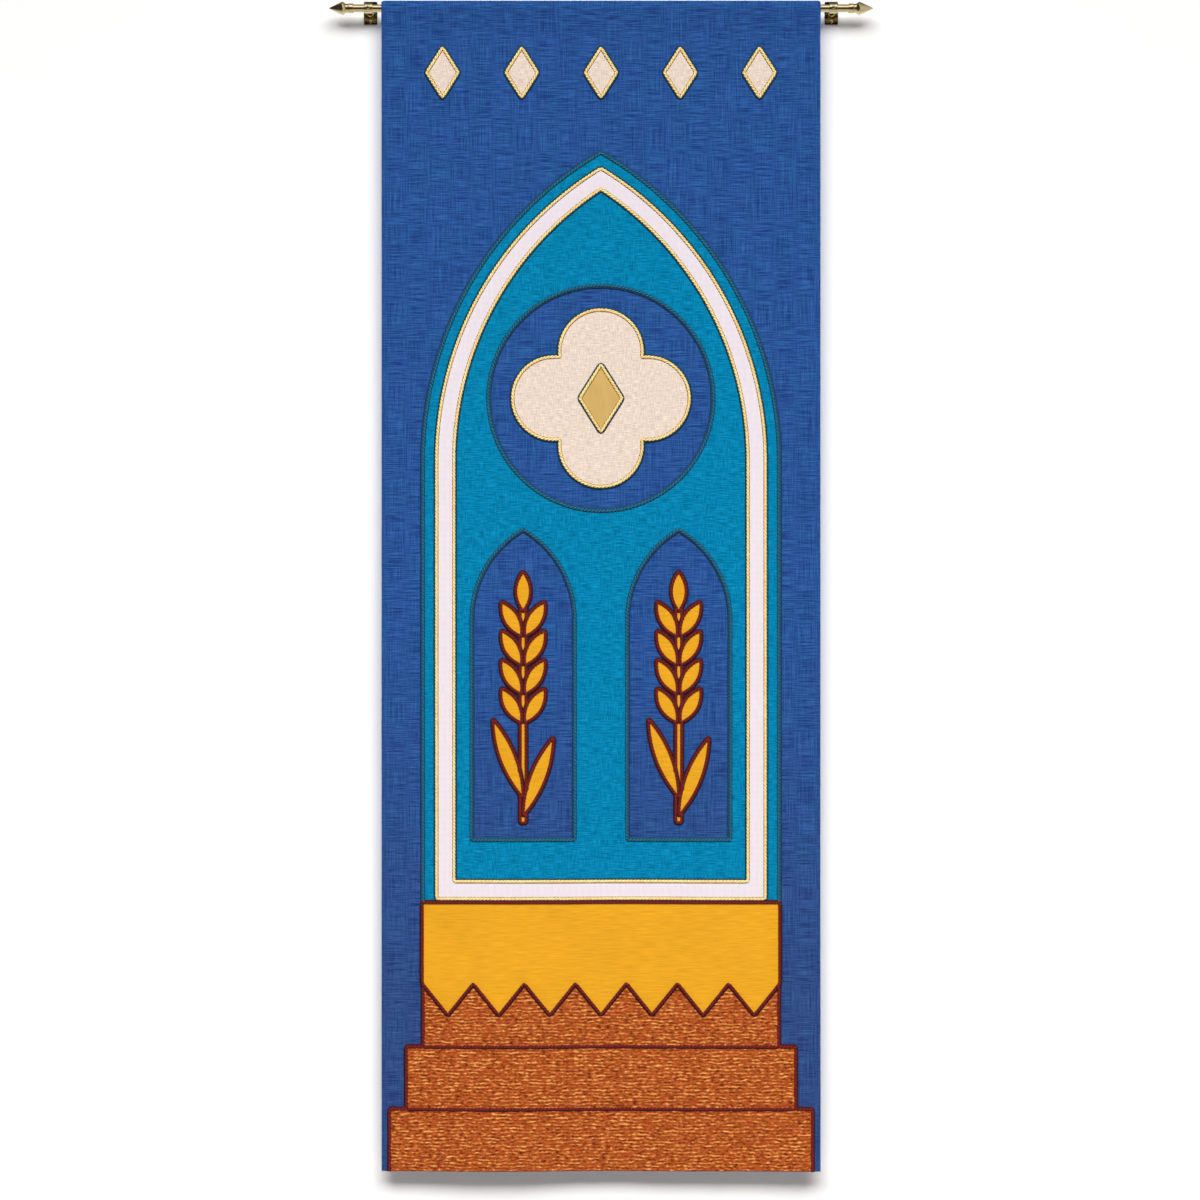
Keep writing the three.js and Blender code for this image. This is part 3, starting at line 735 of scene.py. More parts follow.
def maths(tree, operation, *values):
    return add(tree, "ShaderNodeMath", dict(enumerate(values)), operation=operation).outputs[0]


def vectors(tree, operation, *values):
    return add(tree, "ShaderNodeVectorMath", dict(enumerate(values)), operation=operation).outputs[0]


def chained(tree, operation, first, *others):
    """One operation carried through all the values."""
    for value in others:
        first = maths(tree, operation, first, value)
    return first


def ranged(tree, value, low, high, to_low=0.0, to_high=1.0):
    """A value moved from one range to another and kept inside it."""
    inputs = {"Value": value, "From Min": low, "From Max": high, "To Min": to_low, "To Max": to_high}
    return add(tree, "ShaderNodeMapRange", inputs).outputs["Result"]


def mixed(tree, share, first, second, blend="MIX"):
    """Two colours mixed by a share."""
    node = add(tree, "ShaderNodeMix", {0: share}, data_type="RGBA", blend_type=blend)
    for index, value in ((6, first), (7, second)):
        if isinstance(value, bpy.types.NodeSocket):
            tree.links.new(value, node.inputs[index])
        else:
            node.inputs[index].default_value = (*value[:3], 1)
    return node.outputs[2]


# ---- Materials ----

def new_material(name):
    made = bpy.data.materials.new(name)
    made.use_nodes = True
    tree = made.node_tree
    tree.nodes.clear()
    surface = add(tree, "ShaderNodeBsdfPrincipled")
    add(tree, "ShaderNodeOutputMaterial", {"Surface": surface.outputs[0]})
    return made, tree, surface


def place_of(tree):
    return add(tree, "ShaderNodeTexCoord").outputs["Object"]


def parts_of(tree, vector):
    return add(tree, "ShaderNodeSeparateXYZ", {0: vector}).outputs


def stored(tree, name, output="Fac"):
    """What the piece's own mesh keeps under this name."""
    return add(tree, "ShaderNodeAttribute", attribute_name=name).outputs[output]


def noise(tree, place, across, up, detail=1.0):
    """Noise whose spots are this many millimetres across and up."""
    scaled = vectors(tree, "MULTIPLY", place, (1 / (across * MM), 0.0, 1 / (up * MM)))
    inputs = {"Vector": scaled, "Scale": 1.0, "Detail": detail, "Roughness": 0.5}
    return add(tree, "ShaderNodeTexNoise", inputs).outputs["Fac"]


def wave_along(tree, value, pitch, shift=0.0):
    """A wave between -1 and 1 that comes round once in each pitch."""
    return maths(tree, "SINE", maths(tree, "MULTIPLY_ADD", value, 2 * math.pi / pitch, shift))


def ribs_along(tree, value, pitch, shift=0.0):
    """The same wave between 0 and 1."""
    return maths(tree, "MULTIPLY_ADD", wave_along(tree, value, pitch, shift), 0.5, 0.5)


def weighed(tree, first, first_share, second, second_share):
    """Two values added, each times its own share."""
    return maths(tree, "MULTIPLY_ADD", first, first_share, maths(tree, "MULTIPLY", second, second_share))


def times(base, factors):
    return [c * f for c, f in zip(base, factors)]


def shaded(tree, base, amount, value):
    """A colour made darker or lighter as a value leaves its middle of one half."""
    share = maths(tree, "MULTIPLY_ADD", value, 2 * amount, 1 - amount)
    grey = add(tree, "ShaderNodeCombineColor", {0: share, 1: share, 2: share}).outputs[0]
    return mixed(tree, 1.0, base, grey, blend="MULTIPLY")


def mottled(tree, base, amount, value):
    """The same for a noise, which mostly keeps to the middle of its range."""
    return shaded(tree, base, amount, ranged(tree, value, 0.3, 0.7))


def finish(tree, surface, tone, height, rough, spread, bump, depth, gloss=0.5, sheen=0.0):
    """Sets a surface's colour, its gloss and its fibres' sheen at glancing angles. Its bump and its
    roughness come from one height between 0 and 1, and the roughness falls by the spread as it rises."""
    tree.links.new(tone, surface.inputs["Base Color"])
    roughness = maths(tree, "MULTIPLY_ADD", height, -spread, rough + spread / 2)
    tree.links.new(roughness, surface.inputs["Roughness"])
    relief = add(tree, "ShaderNodeBump", {"Height": height, "Strength": bump, "Distance": depth})
    tree.links.new(relief.outputs[0], surface.inputs["Normal"])
    surface.inputs["Sheen Weight"].default_value = sheen
    surface.inputs["Sheen Roughness"].default_value = 0.5
    surface.inputs["Specular IOR Level"].default_value = gloss


def linen(
    name, base, dark, light, warp=(2.8, 75), weft=(45, 2.1), patch=60, flecks=(), tint_and_sheen=None, foot=None,
):
    """Slubby plain weave: long uneven yarns both ways, the weft more to the fore in some patches.
    dark and light are what the thin and the thick stretches of a yarn do to the base colour, tint is what
    some patches are dyed towards, and foot is painted shade that darkens and warms the colour towards the
    hem."""
    made, tree, surface = new_material(name)
    place = place_of(tree)
    which = ranged(tree, noise(tree, place, patch, patch, 2.0), 0.38, 0.62, 0.45, 0.9)
    yarns = {0: which, 2: noise(tree, place, *warp), 3: noise(tree, place, *weft)}
    slubs = ranged(tree, add(tree, "ShaderNodeMix", yarns).outputs[0], 0.37, 0.63)
    fine = maths(tree, "ADD", noise(tree, place, 1.2, 16, 0.0), noise(tree, place, 16, 1.2, 0.0))
    weave = ranged(tree, maths(tree, "MULTIPLY", fine, 0.5), 0.35, 0.65)
    tone = mixed(tree, slubs, times(base, dark), times(base, light))
    tone = shaded(tree, tone, 0.15, weave)
    if tint_and_sheen:
        recoloured = ranged(tree, noise(tree, place, 40, 75, 2.0), 0.40, 0.60)
        tone = mixed(tree, recoloured, tone, tint_and_sheen, blend="MULTIPLY")
    # Painted shade: towards the hem the colour turns darker and warmer, standing in for weaker light low on
    # the banner.
    if foot:
        low = ranged(tree, parts_of(tree, place)["Z"], *PAINTED_SHADE_HEIGHTS)
        tone = mixed(tree, low, tone, foot, blend="MULTIPLY")
    for fleck in flecks:
        spots = noise(tree, place, fleck["across"], fleck["up"], 0.0)
        flecked = ranged(tree, spots, fleck["from"], fleck["from"] + 0.1, 0.0, fleck["strength"])
        tone = mixed(tree, flecked, tone, fleck["colour"])
    height = weighed(tree, slubs, 0.55, weave, 0.45)
    finish(tree, surface, tone, height, 0.86, 0.2, bump=0.5, depth=0.4 * MM, gloss=0.05, sheen=0.02)
    return made


def rep(name, base):
    """Fine ribs across, each a little uneven along its length."""
    made, tree, surface = new_material(name)
    place = place_of(tree)
    drift = maths(tree, "MULTIPLY", noise(tree, place, 60, 9), 9.0)
    ribs = ribs_along(tree, parts_of(tree, place)["Z"], 2.1 * MM, drift)
    slubs = noise(tree, place, 38, 3.0)
    tone = shaded(tree, base, 0.05, ribs)
    tone = mottled(tree, tone, 0.09, slubs)
    tone = mottled(tree, tone, 0.03, noise(tree, place, 120, 120, 2.0))
    height = weighed(tree, ribs, 0.6, slubs, 0.4)
    finish(tree, surface, tone, height, 0.72, 0.2, bump=0.5, depth=0.35 * MM, gloss=0.12, sheen=0.02)
    return made


def brocade(name, base, tint_and_sheen):
    """Smooth satin ground with a faint raised damask of soft lozenges and a painted sheen of lighter
    streaks along its yarns.
    """
    made, tree, surface = new_material(name)
    place = place_of(tree)
    parts = parts_of(tree, place)
    slants = [maths(tree, way, parts["X"], parts["Z"]) for way in ("ADD", "SUBTRACT")]
    figure = maths(tree, "MULTIPLY", *(wave_along(tree, slant, 26 * MM) for slant in slants))
    figure = ranged(tree, figure, -0.12, 0.12)
    yarn = noise(tree, place, 1.0, 26, 0.0)
    tone = shaded(tree, base, 0.012, figure)
    tone = mottled(tree, tone, 0.03, yarn)
    # Painted sheen: lighter, bluer streaks along the yarns.
    recoloured = ranged(tree, noise(tree, place, 9, 30, 2.0), 0.45, 0.75, 0.0, 0.35)
    tone = mixed(tree, recoloured, tone, tint_and_sheen)
    height = weighed(tree, figure, 0.4, yarn, 0.6)
    finish(tree, surface, tone, height, 0.55, 0.18, bump=0.35, depth=0.25 * MM, gloss=0.2, sheen=0.02)
    return made


def satin(name, base):
    """Smooth satin with fine upright yarns."""
    made, tree, surface = new_material(name)
    place = place_of(tree)
    yarn = noise(tree, place, 0.8, 30, 0.0)
    tone = mottled(tree, base, 0.05, yarn)
    tone = mottled(tree, tone, 0.04, noise(tree, place, 18, 45))
    finish(tree, surface, tone, yarn, 0.5, 0.15, bump=0.4, depth=0.2 * MM, gloss=0.2, sheen=0.02)
    return made


def tweed(name, base, hollow, crown, warm):
    """Thick and thin yarns laid across, with a painted highlight on their crowns and painted dark brown
    shade in the hollows between them, with warmer stretches here and there."""
    made, tree, surface = new_material(name)
    place = place_of(tree)
    yarn = weighed(tree, noise(tree, place, 9.5, 4.0), 0.60, noise(tree, place, 5, 1.9), 0.30)
    # The tweed's raised ridges push the yarn value up, so they take the painted highlight.
    yarn = maths(tree, "MULTIPLY_ADD", stored(tree, "ridge"), 0.26, yarn)
    ramp = add(tree, "ShaderNodeValToRGB", {0: yarn})
    # Painted shade low on the ramp, in the hollow colour and the darkened base, and a painted highlight
    # high, in the crown colour.
    stops = ((0.38, hollow), (0.48, [c * 0.72 for c in base]), (0.57, base), (0.72, crown))
    points = ramp.color_ramp.elements
    while len(points) < len(stops):
        points.new(0.5)
    for point, (position, tone) in zip(points, stops):
        point.position = position
        point.color = (*tone, 1)
    warmed = ranged(tree, noise(tree, place, 36, 6.5), 0.48, 0.7, 0.0, 0.4)
    tone = mixed(tree, warmed, ramp.outputs[0], warm)
    finish(tree, surface, tone, yarn, 0.88, 0.2, bump=0.8, depth=0.9 * MM, gloss=0.08, sheen=0.03)
    return made


def cord(name, base, painted_dive_shade, inner=None):
    """Yarns wound round each ply. A ply has a painted highlight on the cord's crown and painted shade as it
    dives under, and the cord may turn to another colour on its inner side."""
    made, tree, surface = new_material(name)
    around = parts_of(tree, stored(tree, "around", "Vector"))
    turn = maths(tree, "ARCTAN2", around["Y"], around["X"])
    yarn = ribs_along(tree, stored(tree, "along"), 5.2 * MM, maths(tree, "MULTIPLY", turn, 3.0))
    # Painted highlight and shade: each ply runs from the shade colour where it dives under to the base
    # colour on its crown.
    tone = mixed(tree, ranged(tree, stored(tree, "crown"), -0.3, 0.8), painted_dive_shade, base)
    if inner:
        inward = maths(tree, "MULTIPLY_ADD", around["X"], 0.5, stored(tree, "beside"))
        tone = mixed(tree, ranged(tree, inward, -0.2, -0.9), tone, inner)
    tone = shaded(tree, tone, 0.12, yarn)
    tone = mottled(tree, tone, 0.10, noise(tree, place_of(tree), 9, 9))
    finish(tree, surface, tone, yarn, 0.6, 0.15, bump=0.7, depth=0.35 * MM, gloss=0.2, sheen=0.02)
    return made


def thread(name, base, shade=1.0):
    """Thread laid across the outline, seen as fine ribs along it."""
    made, tree, surface = new_material(name)
    base = [c * shade for c in base]
    ribs = ribs_along(tree, stored(tree, "along"), 1.7 * MM)
    tone = mixed(tree, ribs, [c * 0.6 for c in base], [c * 1.25 for c in base])
    tone = mottled(tree, tone, 0.15, noise(tree, place_of(tree), 7, 7))
    finish(tree, surface, tone, ribs, 0.7, 0.2, bump=0.6, depth=0.3 * MM)
    return made


def polished(name, base, dulled, painted_dark_reflection):
    """Polished brass with faint rubbing marks and a little dulling, and a painted dark reflection on the
    plates at the wall.
    """
    made, tree, surface = new_material(name)
    place = place_of(tree)
    dull = add(tree, "ShaderNodeTexNoise", {"Vector": place, "Scale": 90.0, "Detail": 3.0}).outputs["Fac"]
    drawn = vectors(tree, "MULTIPLY", place, (60.0, 1500.0, 1500.0))
    marks = add(tree, "ShaderNodeTexNoise", {"Vector": drawn, "Scale": 1.0, "Detail": 1.0}).outputs["Fac"]
    tone = mixed(tree, ranged(tree, dull, 0.4, 0.75, 0.0, 0.35), base, times(base, dulled))
    # Painted dark reflection: near the wall the colour turns dark, standing in for the dark room that the
    # plates mirror.
    dark = ranged(tree, parts_of(tree, place)["Y"], -5 * MM, -3.4 * MM, 0.0, 0.85)
    tone = mixed(tree, dark, tone, painted_dark_reflection)
    tree.links.new(tone, surface.inputs["Base Color"])
    tree.links.new(maths(tree, "MULTIPLY_ADD", dull, 0.08, 0.02), surface.inputs["Roughness"])
    relief = add(tree, "ShaderNodeBump", {"Height": marks, "Strength": 0.12, "Distance": 0.02 * MM})
    tree.links.new(relief.outputs[0], surface.inputs["Normal"])
    surface.inputs["Metallic"].default_value = 1.0
    return made


# Heights, from the rod, between which painted shade darkens the blue linen towards the hem.
PAINTED_SHADE_HEIGHTS = (-1.3, -2.1)
FLECKS = [
    {"across": 9, "up": 2.5, "from": 0.60, "strength": 0.22, "colour": (0.80, 0.50, 0.42)},
    {"across": 8, "up": 2.5, "from": 0.61, "strength": 0.25, "colour": (0.80, 0.66, 0.36)},
    {"across": 2.5, "up": 9, "from": 0.61, "strength": 0.18, "colour": (0.50, 0.48, 0.50)},
]
# Each finish: what makes it, the setting that holds its colour, and what else it takes.
FINISHES = {
    # The blue linen's foot is painted shade towards the hem.
    "blue linen": (linen, "cloth.blue", {
        "dark": (0.62, 0.58, 0.71), "light": (1.42, 1.50, 1.33), "tint_and_sheen": (1.10, 0.97, 1.03),
        "foot": (1.26, 0.80, 0.74),
    }),
    "turquoise linen": (linen, "picture.turquoise", {
        "dark": (0.4, 0.72, 0.75), "light": (3.4, 1.30, 1.27), "warp": (2.4, 24), "weft": (24, 2.1),
        "patch": 40,
    }),
    "cream linen": (linen, "picture.cream", {
        "dark": (0.93, 0.90, 0.88), "light": (1.06, 1.08, 1.10), "warp": (2.8, 14), "weft": (16, 2.3),
        "flecks": FLECKS,
    }),
    # The brocade's tint is a painted sheen of lighter streaks.
    "white brocade": (brocade, "picture.white", {"tint_and_sheen": (0.80, 0.78, 0.86)}),
    "ochre satin": (satin, "picture.ochre", {}),
    "golden rep": (rep, "picture.golden", {}),
    # The tweed's hollow colour is painted shade and its crown colour a painted highlight.
    "rust tweed": (tweed, "picture.rust", {
        "hollow": (0.12, 0.018, 0.007), "crown": (0.84, 0.40, 0.11), "warm": (0.42, 0.055, 0.016),
    }),
    # The cords' dive shades are painted shade where each ply dives under the other.
    "teal cord": (cord, "outline.teal", {"painted_dive_shade": (0.008, 0.062, 0.095)}),
    "gold cord": (cord, "outline.gold", {"painted_dive_shade": (0.86, 0.56, 0.19), "inner": (0.90, 0.58, 0.20)}),
    "maroon cord": (cord, "outline.maroon", {"painted_dive_shade": (0.10, 0.006, 0.010)}),
    # Threads of the dark stitching beside the cords, which is painted shadow of the cords on the cloth.
    "dark thread": (thread, "outline.dark", {}),
    "slate blue thread": (thread, "outline.slate", {}),
    "dark red thread": (thread, "outline.dark_red", {}),
    "blue thread": (thread, "cloth.blue", {"shade": 0.8}),
    # The brass's dark colour near the wall is a painted dark reflection.
    "polished brass": (polished, "brass.brass", {
        "dulled": (0.8, 0.7, 0.55), "painted_dark_reflection": (0.07, 0.055, 0.03),
    }),
}


def material(finish):
    """The material of this finish, made the first time that it is asked for."""
    known = bpy.data.materials.get(finish)
    if known:
        return known
    make, place, more = FINISHES[finish]
    group, key = place.split(".")
    return make(finish, tuple(getattr(getattr(settings(), group), key)), **more)


# ---- Cords and stitching ----

def smoothed(line, closed, rounds=3):
    """A line with even short steps and its sharp corners a little rounded."""
    line = np.asarray(line, float)
    whole = np.vstack((line, line[:1])) if closed else line
    length = np.concatenate([[0], np.cumsum(np.hypot(*np.diff(whole, axis=0).T))])
    count = max(4, round(length[-1] / CORD_STEP))
    at = np.linspace(0, length[-1], count + 1)
    points = np.column_stack([np.interp(at, length, whole[:, i]) for i in range(2)])
    points = points[:-1] if closed else points
    for _ in range(rounds):
        middle = (np.roll(points, 1, axis=0) + 2 * points + np.roll(points, -1, axis=0)) / 4
        if not closed:
            middle[[0, -1]] = points[[0, -1]]
        points = middle
    return points


def line_mesh(name, lines):
    """Lines as loose edges. Each has its points, its relief above the cloth, and whether it closes."""
    points, edges = [], []
    for line in lines:
        first, count = len(points), len(line["points"])
        points += [(p[0], p[1], line["relief"]) for p in line["points"]]
        edges += [(first + i, first + i + 1) for i in range(count - 1)]
        if line["closed"]:
            edges.append((first + count - 1, first))
    mesh = bpy.data.meshes.new(name)
    mesh.from_pydata(points, edges, [])
    return link(name, mesh)


def new_tree(name, sizes, counts=()):
    """A geometry tree with a mesh in, a mesh out and the named inputs."""
    tree = bpy.data.node_groups.new(name, "GeometryNodeTree")
    sockets = [("Geometry", "Geometry"), *((s, "Float") for s in sizes), *((c, "Int") for c in counts)]
    for socket, kind in (*sockets, ("Material", "Material")):
        tree.interface.new_socket(socket, in_out="INPUT", socket_type="NodeSocket" + kind)
    tree.interface.new_socket("Geometry", in_out="OUTPUT", socket_type="NodeSocketGeometry")
    return tree, tree.nodes.new("NodeGroupInput").outputs


def close_tree(tree, shape, given):
    """Ends a tree with real meshes in the given material."""
    real = add(tree, "GeometryNodeRealizeInstances", {0: shape}).outputs[0]
    worn = add(tree, "GeometryNodeSetMaterial", {"Geometry": real, "Material": given["Material"]})
    add(tree, "NodeGroupOutput", {0: worn.outputs[0]})
    return tree


def baked(piece, modifier):
    """Gives the piece the mesh that its modifier makes, and takes the modifier off again."""
    depsgraph = bpy.context.evaluated_depsgraph_get()
    mesh = bpy.data.meshes.new_from_object(
        piece.evaluated_get(depsgraph), preserve_all_data_layers=True, depsgraph=depsgraph,
    )
    piece.modifiers.remove(modifier)
    piece.data = mesh


def made_by(tree, piece, values):
    modifier = piece.modifiers.new(tree.name, "NODES")
    modifier.node_group = tree
    for item in tree.interface.items_tree:
        if item.in_out == "INPUT" and item.name in values:
            modifier[item.identifier] = values[item.name]
    baked(piece, modifier)


def store(tree, shape, name, value, kind="FLOAT"):
    node = add(tree, "GeometryNodeStoreNamedAttribute", data_type=kind, domain="POINT")
    node.inputs["Name"].default_value = name
    tree.links.new(shape, node.inputs["Geometry"])
    tree.links.new(value, node.inputs["Value"])
    return node.outputs[0]


def even_curve(tree, given):
    """The lines as curves in even steps that keep each point's place along its line."""
    curve = add(tree, "GeometryNodeMeshToCurve", {0: given["Geometry"]}).outputs[0]
    curve = add(tree, "GeometryNodeResampleCurve", {"Curve": curve, "Length": given["Step"]}, mode="LENGTH")
    along = add(tree, "GeometryNodeSplineParameter").outputs["Length"]
    return store(tree, curve.outputs[0], "along", along), along


def swept(tree, line, profile):
    """A closed mesh of the profile carried along the line."""
    inputs = {"Curve": line, "Profile Curve": profile, "Fill Caps": True}
    return add(tree, "GeometryNodeCurveToMesh", inputs).outputs[0]


def circle(tree, sides, radius):
    return add(tree, "GeometryNodeCurvePrimitiveCircle", {"Resolution": sides, "Radius": radius}).outputs[0]


def scaled(tree, shape, *sizes):
    scale = add(tree, "ShaderNodeCombineXYZ", dict(enumerate(sizes))).outputs[0]
    return add(tree, "GeometryNodeTransform", {"Geometry": shape, "Scale": scale}).outputs[0]


def cord_tree():
    """Two plies wound round each line, which lies flat in X and Y."""
    tree, given = new_tree("Twisted cord", ("Ply Radius", "Spread", "Rise", "Lay", "Step"), ["Sides"])
    line, along = even_curve(tree, given)
    whole = add(tree, "GeometryNodeSplineLength").outputs["Length"]
    turns = maths(tree, "ROUND", maths(tree, "DIVIDE", whole, given["Lay"]))
    turns = maths(tree, "MAXIMUM", turns, 1.0)
    phase = chained(tree, "MULTIPLY", turns, maths(tree, "DIVIDE", along, whole), 2 * math.pi)
    tangent = add(tree, "GeometryNodeInputTangent").outputs[0]
    across = vectors(tree, "NORMALIZE", vectors(tree, "CROSS_PRODUCT", tangent, (0.0, 0.0, 1.0)))
    around = vectors(tree, "NORMALIZE", add(tree, "GeometryNodeInputPosition").outputs[0])
    profile = circle(tree, given["Sides"], given["Ply Radius"])
    profile = store(tree, profile, "around", around, "FLOAT_VECTOR")
    joined = tree.nodes.new("GeometryNodeJoinGeometry")
    for ply in range(2):
        turn = maths(tree, "ADD", phase, ply * math.pi)
        beside, crown = maths(tree, "COSINE", turn), maths(tree, "SINE", turn)
        sideways = {0: across, "Scale": maths(tree, "MULTIPLY", beside, given["Spread"])}
        side = add(tree, "ShaderNodeVectorMath", sideways, operation="SCALE").outputs[0]
        upward = {2: maths(tree, "MULTIPLY", crown, given["Rise"])}
        lift = add(tree, "ShaderNodeCombineXYZ", upward).outputs[0]
        # Each ply keeps how high it stands as its crown, from which the cord's material paints its
        # highlight and shade.
        marked = store(tree, store(tree, line, "beside", beside), "crown", crown)
        offset = {"Geometry": marked, "Offset": vectors(tree, "ADD", side, lift)}
        moved = add(tree, "GeometryNodeSetPosition", offset).outputs[0]
        tree.links.new(swept(tree, moved, profile), joined.inputs[0])
    return close_tree(tree, joined.outputs[0], given)


def shadow_stitching_tree():
    """A low rounded ribbon under each line: dark stitching that shows beside the cord as its painted
    shadow.
    """
    tree, given = new_tree("Underlay", ("Width", "Height", "Step"))
    line, _ = even_curve(tree, given)
    line = add(tree, "GeometryNodeSetCurveNormal", {0: line}, mode="Z_UP").outputs[0]
    profile = scaled(tree, circle(tree, 6, 0.5), given["Width"], given["Height"], 1.0)
    return close_tree(tree, swept(tree, line, profile), given)


def stitch_tree():
    """Short round-ended stitches in a row along each line, each a little uneven."""
    tree, given = new_tree("Running stitches", ("Pitch", "Length", "Radius"), ["Seed"])
    curve = add(tree, "GeometryNodeMeshToCurve", {0: given["Geometry"]}).outputs[0]
    dots = add(tree, "GeometryNodeCurveToPoints", {"Curve": curve, "Length": given["Pitch"]}, mode="LENGTH")
    bead = add(tree, "GeometryNodeMeshUVSphere", {"Segments": 5, "Rings": 4, "Radius": 1.0})
    half = maths(tree, "MULTIPLY", given["Length"], 0.5)
    bead = scaled(tree, bead.outputs["Mesh"], given["Radius"], given["Radius"], half)
    way = {"Vector": dots.outputs["Tangent"]}
    turn = add(tree, "FunctionNodeAlignRotationToVector", way, axis="Z").outputs[0]
    spread = {2: 0.86, 3: 1.08, "Seed": given["Seed"]}
    uneven = add(tree, "FunctionNodeRandomValue", spread, data_type="FLOAT").outputs[1]
    placed = add(tree, "GeometryNodeInstanceOnPoints", {
        "Points": dots.outputs["Points"], "Instance": bead, "Rotation": turn, "Scale": uneven,
    }).outputs[0]
    return close_tree(tree, placed, given)


def lay(name, slot, tree, lines, worn, values):
    """Makes a piece along lines laid out flat, and moves it to its place on the hanging cloth."""
    piece = line_mesh(name, lines)
    made_by(tree, piece, {**values, "Material": material(worn)})
    flat = np.empty(len(piece.data.vertices) * 3)
    piece.data.vertices.foreach_get("co", flat)
    piece.data.vertices.foreach_set("co", hang(flat.reshape(-1, 3)).ravel())
    piece.data.update()
    piece.data.shade_smooth()
    carry(piece, slot)


def cord_line(points, layer, closed=True):
    """A cord's middle line, above the pressed edge that it lies on."""
    edge = layer_height(layer) + settings().picture.thickness * CORD_SEAT
    return {"points": smoothed(points, closed), "relief": edge + settings().outline.lift, "closed": closed}


def visible_runs(line, covers):
    """The runs of a closed line that no later shape covers, each as its points and whether it closes."""
    hidden = np.any([inside(line, c) for c in covers], axis=0) if covers else np.zeros(len(line), bool)
    if not hidden.any():
        return [(line, True)]
    start = int(np.argmax(hidden))
    line, hidden = np.roll(line, -start, axis=0), np.roll(hidden, -start)
    runs, run = [], []
    for point, gone in zip(line, hidden):
        if gone and len(run) > 2:
            runs.append((np.array(run), False))
        run = [] if gone else [*run, point]
    if len(run) > 2:
        runs.append((np.array(run), False))
    return runs


def teal_lines():
    """The window's edge down to the frontal, the two lights and the round."""
    half = settings().picture.window_half_width
    window = window_outline()
    top = FRONTAL["top"] + LINE_GAP
    above = window[window[:, 1] > top]
    start = int(np.argmin(above[:, 1] + (above[:, 0] < 0)))
    arch = np.vstack(([(half, top)], np.roll(above, -start, axis=0), [(-half, top)]))
    lines = [cord_line(arch, 0, closed=False)]
    return lines + [cord_line(loop[::-1], 0) for loop in (*light_outlines(), round_outline())]


def gold_lines():
    """Both edges of the band, the quatrefoil, its centre and the border's lozenges."""
    picture = settings().picture
    lines = [cord_line(band_outline(picture.band_outer), 1)]
    lines.append(cord_line(band_outline(picture.band_inner)[::-1], 1))
    lines += [cord_line(quatrefoil_outline(), 0), cord_line(centre_outline(), 1)]
    return lines + [cord_line(loop, 0) for loop in border_outlines()]


def maroon_lines():
    """The steps' sides and treads, the frontal, and what shows of each shape in the wheat."""
    low, middle, top = STEPS
    side = [
        (low["half_width"], 0.0), (low["half_width"], low["top"]), (middle["half_width"], low["top"]),
        (middle["half_width"], middle["top"]), (top["half_width"], middle["top"]),
        (top["half_width"], FRONTAL["base"] - 1 * MM),
    ]
    mirrored = [(-x, up) for x, up in reversed(side)]
    lines = [cord_line(divided(run, closed=False), 0, closed=False) for run in (side, mirrored)]
    for lower, upper in ((low, middle), (middle, top)):
        reach = upper["half_width"] - LINE_GAP
        lines.append(cord_line([(-reach, lower["top"]), (reach, lower["top"])], 0, closed=False))
    lines.append(cord_line(frontal_outline(), 1))
    for _, side in SIDES:
        shapes = wheat_outlines(side * settings().picture.light_centre)
        for i, shape in enumerate(shapes):
            for points, closed in visible_runs(smoothed(shape, True, rounds=0), shapes[i + 1:]):
                lines.append(cord_line(points, 0, closed))
    return lines


def lines_beside(lines):
    """The lines moved to their right, the side where the cloth below shows, and lowered under the cord, for
    the dark stitching that shows there as the cord's painted shadow.
    """
    given = settings().outline
    moved = []
    for line in lines:
        points = line["points"]
        way = np.roll(points, -1, axis=0) - np.roll(points, 1, axis=0)
        if not line["closed"]:
            way[0] = points[1] - points[0]
            way[-1] = points[-1] - points[-2]
        way /= length_of(way)
        points = points + given.shadow_stitching_shift * np.column_stack((way[:, 1], -way[:, 0]))
        moved.append({**line, "points": points, "relief": line["relief"] - given.shadow_stitching_height / 2})
    return moved


# ---- Brass ----

def solid(name, points, faces):
    piece = new_piece(name, points, faces, material("polished brass"), BRASS_SHARP)
    face_outward(piece, BRASS_SHARP)
    return piece


def turned(name, profile, sides, place=(0.0, 0.0, 0.0), outward=False, side=1):
    """Turned work along the X axis, or out from the wall, from (radius, along) pairs. It is moved to
    its place, and mirrored to its side."""
    turn = np.arange(sides) * 2 * math.pi / sides
    points, rings = [], []
    for radius, along in profile:
        if radius < TINY:
            rings.append([len(points)] * sides)
            points.append((along, 0.0, 0.0))
            continue
        rings.append(list(range(len(points), len(points) + sides)))
        points += [(along, radius * math.cos(t), radius * math.sin(t)) for t in turn]
    faces = []
    for lower, upper in zip(rings, rings[1:]):
        for i in range(sides):
            j = (i + 1) % sides
            face = list(dict.fromkeys((lower[i], lower[j], upper[j], upper[i])))
            if len(face) > 2:
                faces.append(face)
    points = np.array(points)
    if outward:
        points = np.column_stack((points[:, 1], -points[:, 0], points[:, 2]))
    return solid(name, (points + place) * (side, 1, 1), faces)


def rounded_end(radius, along, edge, way):
    """The profile of a rounded edge between a face at this place along and the side."""
    turn = np.linspace(0, math.pi / 2, 5)
    return [(radius - edge + edge * math.sin(t), along + way * edge * (1 - math.cos(t))) for t in turn]


def rounded_bar(radius, half, edge):
    left, right = rounded_end(radius, -half, edge, 1), rounded_end(radius, half, edge, -1)
    return [(0.0, -half), *left, *right[::-1], (0.0, half)]


def plain_bar(radius, near, far):
    return [(0.0, near), (radius, near), (radius, far), (0.0, far)]


